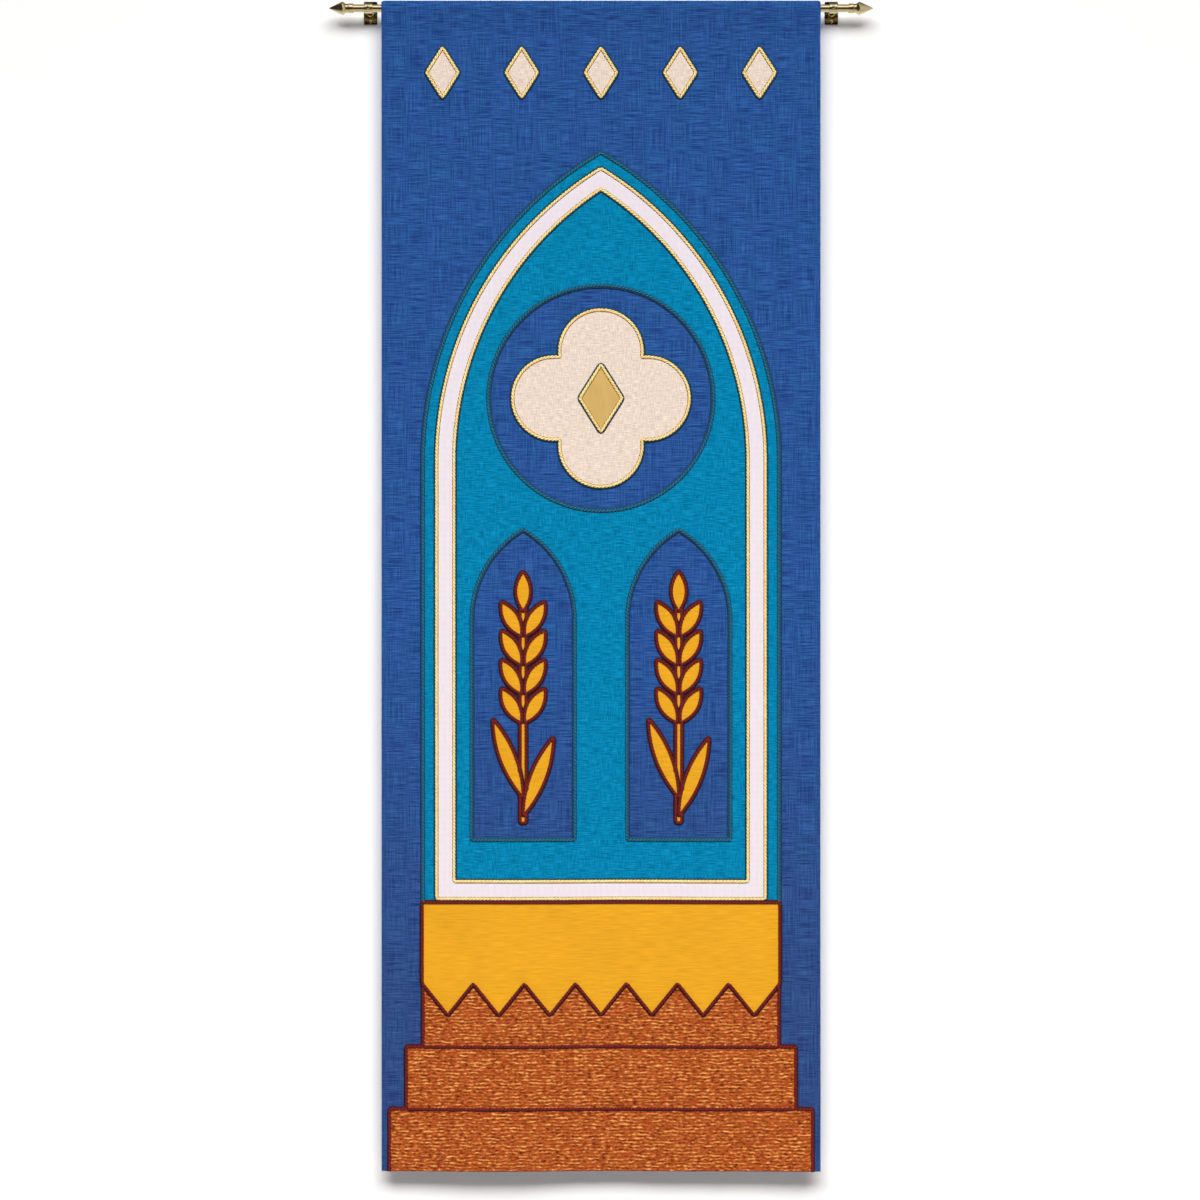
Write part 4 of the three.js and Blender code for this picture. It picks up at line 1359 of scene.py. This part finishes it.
def cut_or_join(piece, other, operation):
    """Joins another solid to a piece or cuts it out, and takes the other away."""
    modifier = piece.modifiers.new("Fit", "BOOLEAN")
    modifier.operation = operation
    modifier.solver = "MANIFOLD"
    modifier.object = other
    baked(piece, modifier)
    bpy.data.objects.remove(other)


def carry_flat_faced(piece, node):
    """Brass whose broad flat faces stay flat in the light beside their rounded edges."""
    modifier = piece.modifiers.new("Even normals", "WEIGHTED_NORMAL")
    modifier.keep_sharp = True
    carry(piece, "polished_brass", node)


def screw_head(name, seat, tip, place, slot_turn):
    """A round-headed screw that points from the wall, with a slot across its head."""
    shank, head, top, edge = SCREW["shank"], SCREW["head"], seat + SCREW["height"], SCREW["edge"]
    point = shank - SCREW["chamfer"]
    profile = [(0.0, tip), (point, tip), (shank, tip + SCREW["chamfer"]), (shank, seat), (head, seat)]
    for t in np.linspace(0, math.pi / 2, 9):
        profile.append((head * math.cos(t), seat + edge + (SCREW["height"] - edge) * math.sin(t)))
    piece = turned(name, profile, 40, outward=True)
    wide, long = SLOT["half_width"], SLOT["half_length"]
    outer, inner = -(top + 1 * MM), -(top - SLOT["depth"])
    corners = [(x, y, z) for x in (-wide, wide) for y in (outer, inner) for z in (-long, long)]
    box = [(0, 1, 3, 2), (4, 6, 7, 5), (0, 4, 5, 1), (2, 3, 7, 6), (0, 2, 6, 4), (1, 5, 7, 3)]
    slot = solid("slot", corners, box)
    slot.data.transform(Matrix.Rotation(math.radians(-slot_turn), 4, "Y"))
    cut_or_join(piece, slot, "DIFFERENCE")
    piece.data.transform(Matrix.Translation(place))
    smooth(piece, BRASS_SHARP)
    return piece


# ---- Operators ----

class MakeStage(bpy.types.Operator):
    """Sets up the wall, the floor, the lights and the camera"""

    bl_idname = "church_banner.make_stage"
    bl_label = "Stage"

    def execute(self, context):
        given = settings().stage
        scene = context.scene
        floor = hem_height() - given.floor
        wall_paint = self.paint("wall paint", given.wall_paint, one_sided=True)
        wall = self.sheet("wall", (0, floor), (0, floor + ROOM["height"]), wall_paint)
        floor_paint = self.paint("floor paint", given.floor_paint)
        ground = self.sheet("floor", (ROOM["near"], floor), (ROOM["far"], floor), floor_paint)
        wall.visible_shadow = False
        wall.visible_glossy = ground.visible_glossy = False
        self.hang_lights(given)
        scene.world = self.painted_room(given)
        scene.camera = link("camera", bpy.data.cameras.new("camera"))
        scene.camera.data.lens = given.lens
        scene.camera.data.sensor_width = 36
        scene.camera.location = (given.side, -given.distance, given.height)
        scene.camera.rotation_euler = (math.pi / 2, 0, 0)
        scene.view_settings.view_transform = "Standard"
        return {"FINISHED"}

    def sheet(self, name, low, high, painted):
        """A flat sheet as wide as the wall, from one (Y, Z) to the other."""
        reach = settings().stage.wall
        corners = [(-reach, *low), (reach, *low), (reach, *high), (-reach, *high)]
        return new_piece(name, corners, [(0, 1, 2, 3)], painted)

    def paint(self, name, colour, one_sided=False):
        """Matt paint. A one-sided wall lets views from behind it see the banner's back."""
        made, tree, surface = new_material(name)
        grain = add(tree, "ShaderNodeTexNoise", {"Vector": place_of(tree), "Scale": 40.0}).outputs["Fac"]
        tree.links.new(shaded(tree, tuple(colour), 0.01, grain), surface.inputs["Base Color"])
        surface.inputs["Roughness"].default_value = 0.9
        surface.inputs["Specular IOR Level"].default_value = 0.1
        if one_sided:
            clear = add(tree, "ShaderNodeBsdfTransparent").outputs[0]
            back = add(tree, "ShaderNodeNewGeometry").outputs["Backfacing"]
            both = add(tree, "ShaderNodeMixShader", {0: back, 1: surface.outputs[0], 2: clear}).outputs[0]
            output = next(n for n in tree.nodes if n.type == "OUTPUT_MATERIAL")
            tree.links.new(both, output.inputs["Surface"])
        return made

    def hang_lights(self, given):
        """A broad soft light high in front, and a fainter one that reaches the back past the wall."""
        front = bpy.data.lights.new("front light", "AREA")
        front.shape = "ELLIPSE"
        front.size, front.size_y = FRONT_LIGHT["size"]
        front.energy = given.front
        front.use_nodes = True
        tree = front.node_tree
        tree.nodes.clear()
        even = add(tree, "ShaderNodeLightFalloff", {"Strength": 1.0}).outputs["Constant"]
        glow = add(tree, "ShaderNodeEmission", {"Strength": even}).outputs[0]
        add(tree, "ShaderNodeOutputLight", {"Surface": glow})
        behind = bpy.data.lights.new("back light", "SUN")
        behind.energy = given.behind
        behind.angle = math.radians(BACK_LIGHT["angle"])
        for light, hung in ((front, FRONT_LIGHT), (behind, BACK_LIGHT)):
            lamp = link(light.name, light)
            lamp.location = hung["place"]
            lamp.rotation_euler = [math.radians(t) for t in hung["turn"]]
            lamp.visible_camera = lamp.visible_glossy = False

    def painted_room(self, given):
        """Plain soft light all round, and in the brass a bright window high in front, a pale wall low
        behind, and dark between. Seen directly, the room is one plain pale grey."""
        world = bpy.data.worlds.new("room")
        world.use_nodes = True
        tree = world.node_tree
        tree.nodes.clear()
        parts = parts_of(tree, add(tree, "ShaderNodeTexCoord").outputs["Generated"])
        across, out, up = parts["X"], parts["Y"], parts["Z"]
        front = ranged(tree, out, -0.1, 0.0, 1.0, 0.0)
        window = chained(
            tree, "MULTIPLY", ranged(tree, up, 0.32, 0.42, 0.0, 0.9), front,
            ranged(tree, up, 0.95, 0.99, 1.0, 0.0),
            ranged(tree, maths(tree, "ABSOLUTE", across), 0.35, 0.55, 1.0, 0.0),
        )
        floor = maths(tree, "MULTIPLY", ranged(tree, up, -0.85, -0.45, 0.47, 0.03), front)
        side = ranged(tree, across, 0.45, 0.8, 0.03, 0.45)
        low = ranged(tree, up, -0.1, 0.05, 0.6, 0.12)
        behind = maths(tree, "MULTIPLY", low, ranged(tree, out, 0.0, 0.1))
        room = chained(tree, "MAXIMUM", window, floor, side, behind)
        room = maths(tree, "MULTIPLY", room, given.mirrored)
        path = add(tree, "ShaderNodeLightPath").outputs
        strength = given.room
        for ray, other in (("Is Glossy Ray", room), ("Is Camera Ray", given.seen)):
            strength = add(tree, "ShaderNodeMix", {0: path[ray], 2: strength, 3: other}).outputs[0]
        back = add(tree, "ShaderNodeBackground", {"Color": (1, 1, 1, 1), "Strength": strength})
        add(tree, "ShaderNodeOutputWorld", {"Surface": back.outputs[0]})
        return world


class MakeCloth(bpy.types.Operator):
    """Makes the blue linen cloth with its hems, and its sleeve round the rod"""

    bl_idname = "church_banner.make_cloth"
    bl_label = "Banner cloth"

    def execute(self, context):
        cloth = settings().cloth
        half = cloth.width / 2
        rows = self.rows(cloth)
        x, z = np.meshgrid(self.columns(cloth, half), rows)
        plane = -settings().brass.from_wall
        side, foot = self.drawn_in(half - np.abs(x)), self.drawn_in(z - hem_height())
        in_sleeve = z > stitch_height() + SLEEVE["starts"]
        inset = np.minimum(np.hypot(side, foot), DEEPEST) * np.where(in_sleeve, SLEEVE_EDGE, CLOTH_EDGE)
        mid = plane + wave(x, z)
        front = np.minimum(cloth_front(x, z) + inset, mid)
        back = np.maximum(cloth_back(x, z) - inset, mid)
        across = x * self.corner_narrowing(z, half)
        outer = [np.dstack((across, skin, z)) for skin in (front, back)]
        hollow = np.flatnonzero((rows > HOLLOW["low"] - WELD) & (rows < HOLLOW["high"] + WELD))
        depth = sleeve_inside(z[hollow])
        depth[[0, -1]] = 0
        depth += np.where(depth > 0, side[hollow] * SLEEVE_EDGE, 0)
        inner = [np.dstack((x[hollow], plane + skin, z[hollow])) for skin in (-depth, depth)]
        points, faces = self.shell(outer, inner, hollow)
        piece = new_piece("cloth_of_banner", points, faces, material("blue linen"), CLOTH_SHARP)
        face_outward(piece, CLOTH_SHARP)
        carry(piece, "blue_linen", "banner_cloth")
        return {"FINISHED"}

    def drawn_in(self, inward):
        """How far a face is drawn in near an edge, as a share of the edge's radius."""
        t = np.clip(inward / CLOTH_EDGE, 0, 1)
        return 1 - np.sqrt(np.maximum(1 - (1 - t) ** 2, 0))

    def columns(self, cloth, half):
        left = np.concatenate((EDGE_COLUMNS, cloth.side_hem - FOLD_ROWS)) - half
        middle = spaced(left[-1], -left[-1], cloth.mesh)[1:-1]
        return np.concatenate((left, middle, -left[::-1]))

    def rows(self, cloth):
        hem, stitch = hem_height(), stitch_height()
        foot = hem + FOOT_ROWS
        fold = hem + cloth.bottom_hem - FOLD_ROWS
        turning = stitch - cloth.turning + TURNING_ROWS
        body = spaced(fold[-1], turning[0], cloth.mesh)[1:-1]
        return np.concatenate((foot, fold, body, turning, SLEEVE_ROWS))

    def corner_narrowing(self, z, half):
        """The top corners are a little rounded where the crease meets the side edges."""
        radius = 5.5 * MM
        rise = np.maximum(0, z - (settings().cloth.crease - radius))
        return (half - (radius - np.sqrt(radius ** 2 - np.minimum(rise, radius) ** 2))) / half

    def shell(self, outer, inner, hollow):
        """One closed mesh: the outer skin, the sleeve's inner skin and the two side edges."""
        rows, columns = outer[0].shape[:2]
        points = np.vstack([a.reshape(-1, 3) for a in (*outer, *inner)])
        tall = len(hollow)
        last = tall - 1

        def out(face, r, c):
            return (face * rows + r) * columns + c

        def inn(face, r, c):
            """The inner skin's faces meet in its first and last rows."""
            face = 0 if r in (0, last) else face
            return (2 * rows + face * tall + r) * columns + c

        def quad(skin, face, r, c):
            return skin(face, r, c), skin(face, r, c + 1), skin(face, r + 1, c + 1), skin(face, r + 1, c)

        def turned_over(face):
            return face[0], *face[:0:-1]

        faces = []
        for c in range(columns - 1):
            for r in range(rows - 1):
                faces += [quad(out, 0, r, c), turned_over(quad(out, 1, r, c))]
            faces.append((out(1, 0, c), out(1, 0, c + 1), out(0, 0, c + 1), out(0, 0, c)))
            top = rows - 1
            faces.append((out(0, top, c), out(0, top, c + 1), out(1, top, c + 1), out(1, top, c)))
            for r in range(last):
                faces += [turned_over(quad(inn, 0, r, c)), quad(inn, 1, r, c)]
        for c, way in ((0, 1), (columns - 1, -1)):
            for r in range(rows - 1):
                near, far = (out(0, r, c), out(0, r + 1, c)), (out(1, r + 1, c), out(1, r, c))
                i = r - hollow[0]
                if 0 <= i < last:
                    ends = [(*near, inn(0, i + 1, c), inn(0, i, c)), (*far, inn(1, i, c), inn(1, i + 1, c))]
                elif i == -1:
                    ends = [(*near, inn(0, 0, c), *far)]
                elif i == last:
                    ends = [(*near, *far, inn(0, last, c))]
                else:
                    ends = [(*near, *far)]
                faces += [f[::way] for f in ends]
        used, index = np.unique(np.concatenate([np.array(f) for f in faces]), return_inverse=True)
        parts = np.split(index, np.cumsum([len(f) for f in faces])[:-1])
        return points[used], [tuple(dict.fromkeys(p.tolist())) for p in parts]


class MakeWindow(bpy.types.Operator):
    """Makes the turquoise window piece and the white band inside its edge"""

    bl_idname = "church_banner.make_window"
    bl_label = "Window and band"

    def execute(self, context):
        picture = settings().picture
        apply_cloth(
            "window_panel", 0, "turquoise linen", [window_outline()], [*light_outlines(), round_outline()],
        )
        outer, inner = band_outline(picture.band_outer), band_outline(picture.band_inner)
        length = float(np.hypot(*(np.roll(outer, -1, axis=0) - outer).T).sum())
        apply_cloth(
            "window_band", 1, "white brocade", [outer], [inner],
            flat=(picture.band_inner - picture.band_outer, length), on="window_panel_cloth",
        )
        return {"FINISHED"}


class MakeQuatrefoil(bpy.types.Operator):
    """Makes the cream quatrefoil in the round and the ochre lozenge on it"""

    bl_idname = "church_banner.make_quatrefoil"
    bl_label = "Quatrefoil"

    def execute(self, context):
        apply_cloth("quatrefoil", 0, "cream linen", [quatrefoil_outline()])
        apply_cloth("quatrefoil_centre", 1, "ochre satin", [centre_outline()], on="quatrefoil_cloth")
        return {"FINISHED"}


class MakeWheat(bpy.types.Operator):
    """Makes the two stalks of wheat"""

    bl_idname = "church_banner.make_wheat"
    bl_label = "Wheat"

    def execute(self, context):
        for label, side in SIDES:
            shapes = wheat_outlines(side * settings().picture.light_centre)
            apply_cloth(f"wheat_{label}", 0, "golden rep", shapes)
        return {"FINISHED"}


class MakeFrontal(bpy.types.Operator):
    """Makes the golden frontal with its seven points"""

    bl_idname = "church_banner.make_frontal"
    bl_label = "Frontal"

    def execute(self, context):
        apply_cloth("frontal", 1, "golden rep", [frontal_outline()])
        return {"FINISHED"}


class MakeSteps(bpy.types.Operator):
    """Makes the three steps in rust tweed"""

    bl_idname = "church_banner.make_steps"
    bl_label = "Steps"

    def execute(self, context):
        pitch = settings().picture.tweed_pitch
        rows = TWEED["rows"]
        thick = np.random.default_rng(TWEED["seed"]).random(TWEED["random"])
        for step in STEPS:
            half = step["half_width"]
            first = math.ceil(step["base"] / pitch * rows) + 1
            up = np.arange(first, math.floor(step["top"] / pitch * rows)) * pitch / rows
            grid = lattice(spaced(-half, half, TWEED["column"])[1:-1], up)
            grid[:, 1] += self.wander(grid)
            apply_cloth(
                step["name"], 0, "rust tweed", [step_outline(step)], grid=grid, rings=RIM_RINGS[:2],
                ridges=lambda places: self.ridge(places, pitch, thick),
            )
        return {"FINISHED"}

    def wander(self, places):
        """How far the yarns leave the level line."""
        across, up = places.T
        return sum(w["size"] * np.sin(2 * np.pi * (across / w["across"] + up / w["up"])) for w in WANDER)

    def ridge(self, places, pitch, thick):
        """Share of the full ridge: each yarn swells and thins along its length."""
        up = np.clip(places[:, 1] - self.wander(places), 0, None)
        row = np.floor(up / pitch).astype(int)
        at = (places[:, 0] + 0.5) / TWEED["stretch"]
        cell = np.floor(at).astype(int)
        t = eased(at - cell)
        swell = thick[row, cell] * (1 - t) + thick[row, cell + 1] * t
        thinnest = TWEED["thinnest"]
        return np.sin(math.pi * up / pitch) ** 2 * (thinnest + (1 - thinnest) * swell)


class MakeLozenges(bpy.types.Operator):
    """Makes the row of cream lozenges across the top"""

    bl_idname = "church_banner.make_lozenges"
    bl_label = "Border lozenges"

    def execute(self, context):
        for i, outline in enumerate(border_outlines()):
            apply_cloth(f"border_lozenge_{i + 1}", 0, "cream linen", [outline])
        return {"FINISHED"}


class MakeOutlines(bpy.types.Operator):
    """Lays the twisted cords on the outlines, and the dark stitching under them that shows beside them as
    their painted shadow
    """

    bl_idname = "church_banner.make_outlines"
    bl_label = "Corded outlines"

    def execute(self, context):
        given = settings().outline
        lines = {"teal": teal_lines(), "gold": gold_lines(), "maroon": maroon_lines()}
        tree = cord_tree()
        for label, slot in (("teal", "turquoise_linen"), ("gold", "golden_rep"), ("maroon", "rust_tweed")):
            lay(f"{label}_outline_cord", slot, tree, lines[label], f"{label} cord", {
                "Ply Radius": given.ply, "Spread": given.spread, "Rise": given.rise, "Lay": given.lay,
                "Step": given.step, "Sides": 6,
            })
        tree = shadow_stitching_tree()
        # Dark stitching under each cord, showing beside it as painted shadow.
        for label, slot, worn, narrower in (
            ("teal", "blue_linen", "slate blue thread", 1.5 * MM),
            ("gold", "blue_linen", "dark thread", 1.5 * MM),
            ("maroon", "rust_tweed", "dark red thread", 3 * MM),
        ):
            lay(f"{label}_outline_stitching", slot, tree, lines_beside(lines[label]), worn, {
                "Width": given.underlay - narrower, "Height": given.shadow_stitching_height, "Step": 4.0 * MM,
            })
        return {"FINISHED"}


class MakeStitches(bpy.types.Operator):
    """Makes the running stitches along the hems and under the sleeve"""

    bl_idname = "church_banner.make_stitches"
    bl_label = "Hem and sleeve stitches"

    def execute(self, context):
        cloth, given = settings().cloth, settings().outline
        from_fold, from_edge, surface = 3 * MM, 4 * MM, 0.1 * MM
        half = cloth.width / 2 - cloth.side_hem + from_fold
        foot = cloth.bottom_hem - from_fold
        top = stitch_height() - hem_height()
        second, reach = top - 8 * MM, cloth.width / 2 - from_edge
        rows = []
        for line in (
            [(-half, second), (-half, foot)], [(half, second), (half, foot)], [(-half, foot), (half, foot)],
            [(-reach, top), (reach, top)], [(-reach, second), (reach, second)],
        ):
            rows.append({"points": smoothed(divided(line, closed=False), False, rounds=0), "closed": False})
        tree = stitch_tree()
        for label, relief in (("front", surface), ("back", -cloth.thickness - cloth.hem_layer - surface)):
            placed = [{**row, "relief": relief} for row in rows]
            lay(f"{label}_running_stitches", "blue_linen", tree, placed, "blue thread", {
                "Pitch": given.stitch, "Length": 3.1 * MM, "Radius": 0.42 * MM, "Seed": given.seed,
            })
        return {"FINISHED"}


class MakeRod(bpy.types.Operator):
    """Makes the brass rod"""

    bl_idname = "church_banner.make_rod"
    bl_label = "Rod"

    def execute(self, context):
        given = settings().brass
        bar = rounded_bar(given.radius, given.half_rod, END_EDGE)
        carry_flat_faced(turned("brass_rod", bar, 64, (0, -given.from_wall, 0)), "rod")
        return {"FINISHED"}


class MakeFinials(bpy.types.Operator):
    """Makes the two spearhead finials that slip over the rod's ends"""

    bl_idname = "church_banner.make_finials"
    bl_label = "Finials"

    def execute(self, context):
        given = settings().brass
        profile, length = self.profile(given)
        place = (given.half_span - length, -given.from_wall, 0)
        for label, side in SIDES:
            piece = turned(f"spearhead_{label}", profile, 72, place, side=side)
            carry(piece, "polished_brass", f"finial_{label}")
        return {"FINISHED"}

    def profile(self, given):
        """From the bottom of the socket out round the collar's mouth to the tip, and the length."""
        collar, flare, cone, tip = FINIAL["collar"], FINIAL["flare"], FINIAL["cone"], FINIAL["tip"]
        bore, socket = given.radius + CLEARANCE, FINIAL["socket"]
        neck, ridge = given.collar - 0.8 * MM, collar + flare
        flat, nose = 0.2 * MM, 1.2 * MM
        profile = [(0.0, socket), (bore, socket), (bore, CLEARANCE), (bore + CLEARANCE, 0.0)]
        profile += rounded_end(given.collar, 0.0, END_EDGE, 1)
        profile += [(given.collar, collar - 1.6 * MM), (given.collar - 0.25 * MM, collar - 1.1 * MM)]
        profile += [(neck, collar - 0.5 * MM), (neck, collar)]
        for t in np.linspace(0.12, 0.97, 9):
            profile.append((neck + (given.ridge - neck) * t ** 2.2, collar + flare * t))
        profile += [(given.ridge, ridge - 0.15 * MM), (given.ridge, ridge + flat)]
        for t in np.linspace(0.06, 0.94, 9):
            swell = math.sin(math.pi * t) * 0.35 * MM
            radius = given.ridge * (1 - t) + tip * t + swell
            profile.append((radius, ridge + flat + (cone - nose - flat) * t))
        for t in np.linspace(0, math.pi / 2, 5):
            profile.append((tip * math.cos(t), ridge + cone - nose + nose * math.sin(t)))
        profile[-1] = (0.0, ridge + cone)
        return profile, ridge + cone


class MakeBrackets(bpy.types.Operator):
    """Makes the two wall brackets: plate, post and ring in one"""

    bl_idname = "church_banner.make_brackets"
    bl_label = "Wall brackets"

    def execute(self, context):
        given = settings().brass
        out, screw = given.from_wall, given.screw_height
        for label, side in SIDES:
            body = self.plate(f"wall_bracket_{label}", given)
            cut_or_join(body, self.post(given), "UNION")
            ring = rounded_bar(RING["radius"], RING["half_length"], RING["edge"])
            cut_or_join(body, turned("ring", ring, 72, (0, -out, 0)), "UNION")
            bore = plain_bar(given.radius + CLEARANCE, -20 * MM, 20 * MM)
            cut_or_join(body, turned("bore", bore, 72, (0, -out, 0)), "DIFFERENCE")
            for height, near, far in (
                (0.0, out + 4 * MM, out + 20 * MM), (-screw, -2 * MM, 10 * MM), (screw, -2 * MM, 10 * MM),
            ):
                hole = turned("hole", plain_bar(HOLE_RADIUS, near, far), 40, (0, 0, height), outward=True)
                cut_or_join(body, hole, "DIFFERENCE")
            body.data.transform(Matrix.Translation((side * given.bracket, 0, 0)))
            smooth(body, BRASS_SHARP)
            carry_flat_faced(body, f"bracket_{label}")
        return {"FINISHED"}

    def plate(self, name, given):
        """A wall plate with rounded corners and a softened front edge, in rings from back to front."""
        half_x, half_z = given.plate_width / 2, given.plate_height / 2
        corner, bevel, side = PLATE["corner"], PLATE["bevel"], PLATE["thickness"] - PLATE["bevel"]
        turn = np.linspace(0, math.pi / 2, 7)
        rings = [(0.0, 0.0)]
        for t in np.linspace(0, math.pi / 2, 5):
            rings.append((side + bevel * math.sin(t), bevel * (1 - math.cos(t))))
        points, faces = [], []
        for out, inset in rings:
            for quarter, (sx, sz) in enumerate(((1, 1), (-1, 1), (-1, -1), (1, -1))):
                for angle in turn + quarter * math.pi / 2:
                    x = sx * (half_x - corner) + (corner - inset) * math.cos(angle)
                    z = sz * (half_z - corner) + (corner - inset) * math.sin(angle)
                    points.append((x, -out, z))
        n = 4 * len(turn)
        for k in range(len(rings) - 1):
            for i in range(n):
                j = (i + 1) % n
                faces.append((k * n + i, k * n + j, (k + 1) * n + j, (k + 1) * n + i))
        faces.append(tuple(reversed(range(n))))
        faces.append(tuple(range((len(rings) - 1) * n, len(rings) * n)))
        return solid(name, points, faces)

    def post(self, given):
        """The post from inside the plate into the ring, flared at its foot."""
        radius, foot, sunk = POST["radius"], POST["foot"], POST["sunk"]
        far = given.from_wall - RING["radius"] + sunk
        profile = [(0.0, sunk), (foot, sunk), (foot, 3.6 * MM), (foot - 0.3 * MM, 4 * MM)]
        for t in np.linspace(0, 1, 7):
            profile.append((radius + POST["flare"] * (1 - t) ** 2, 4.2 * MM + 4.8 * MM * t))
        profile += [(radius, far - 3 * MM), (radius, far), (0.0, far)]
        return turned("post", profile, 56, outward=True)


class MakeScrews(bpy.types.Operator):
    """Makes the set screws in the rings and the plate screws"""

    bl_idname = "church_banner.make_screws"
    bl_label = "Screws"

    def execute(self, context):
        given = settings().brass
        seat = given.from_wall + RING["radius"] + CLEARANCE
        tip = given.from_wall + given.radius + CLEARANCE
        plate = PLATE["thickness"] + CLEARANCE
        turns = iter((24, -38, 61, 12, -70, 83))
        for label, side in SIDES:
            x = side * given.bracket
            made = screw_head(f"ring_screw_{label}", seat, tip, (x, 0, 0), next(turns))
            carry_flat_faced(made, f"set_screw_{label}")
            for name, height in (("upper", given.screw_height), ("lower", -given.screw_height)):
                place = (x, 0, height)
                made = screw_head(f"wall_screw_{label}_{name}", plate, 0.4 * MM, place, next(turns))
                carry_flat_faced(made, f"plate_screw_{label}_{name}")
        return {"FINISHED"}


class BannerPanel(bpy.types.Panel):
    """Lists the banner's pieces and settings"""

    bl_idname = "CHURCH_BANNER_PT_pieces"
    bl_label = "Church banner"
    bl_space_type = "VIEW_3D"
    bl_region_type = "UI"
    bl_category = "Church banner"

    def draw(self, context):
        for operator in OPERATORS:
            self.layout.operator(operator.bl_idname)
        for label in ("cloth", "picture", "outline", "brass", "stage"):
            box = self.layout.box()
            box.label(text=label.capitalize())
            group = getattr(settings(), label)
            for key in group.bl_rna.properties.keys():
                if key not in ("rna_type", "name"):
                    box.prop(group, key)


OPERATORS = (
    MakeStage, MakeCloth, MakeWindow, MakeQuatrefoil, MakeWheat, MakeFrontal, MakeSteps, MakeLozenges,
    MakeOutlines, MakeStitches, MakeRod, MakeFinials, MakeBrackets, MakeScrews,
)
GROUPS = (ClothSettings, PictureSettings, OutlineSettings, BrassSettings, StageSettings, BannerSettings)


def register():
    for each in (*GROUPS, *OPERATORS, BannerPanel):
        bpy.utils.register_class(each)
    bpy.types.Scene.church_banner = PointerProperty(type=BannerSettings)


def unregister():
    del bpy.types.Scene.church_banner
    for each in reversed((*GROUPS, *OPERATORS, BannerPanel)):
        bpy.utils.unregister_class(each)


def main():
    register()
    for operator in OPERATORS:
        group, name = operator.bl_idname.split(".")
        getattr(getattr(bpy.ops, group), name)()


if __name__ == "__main__":
    main()
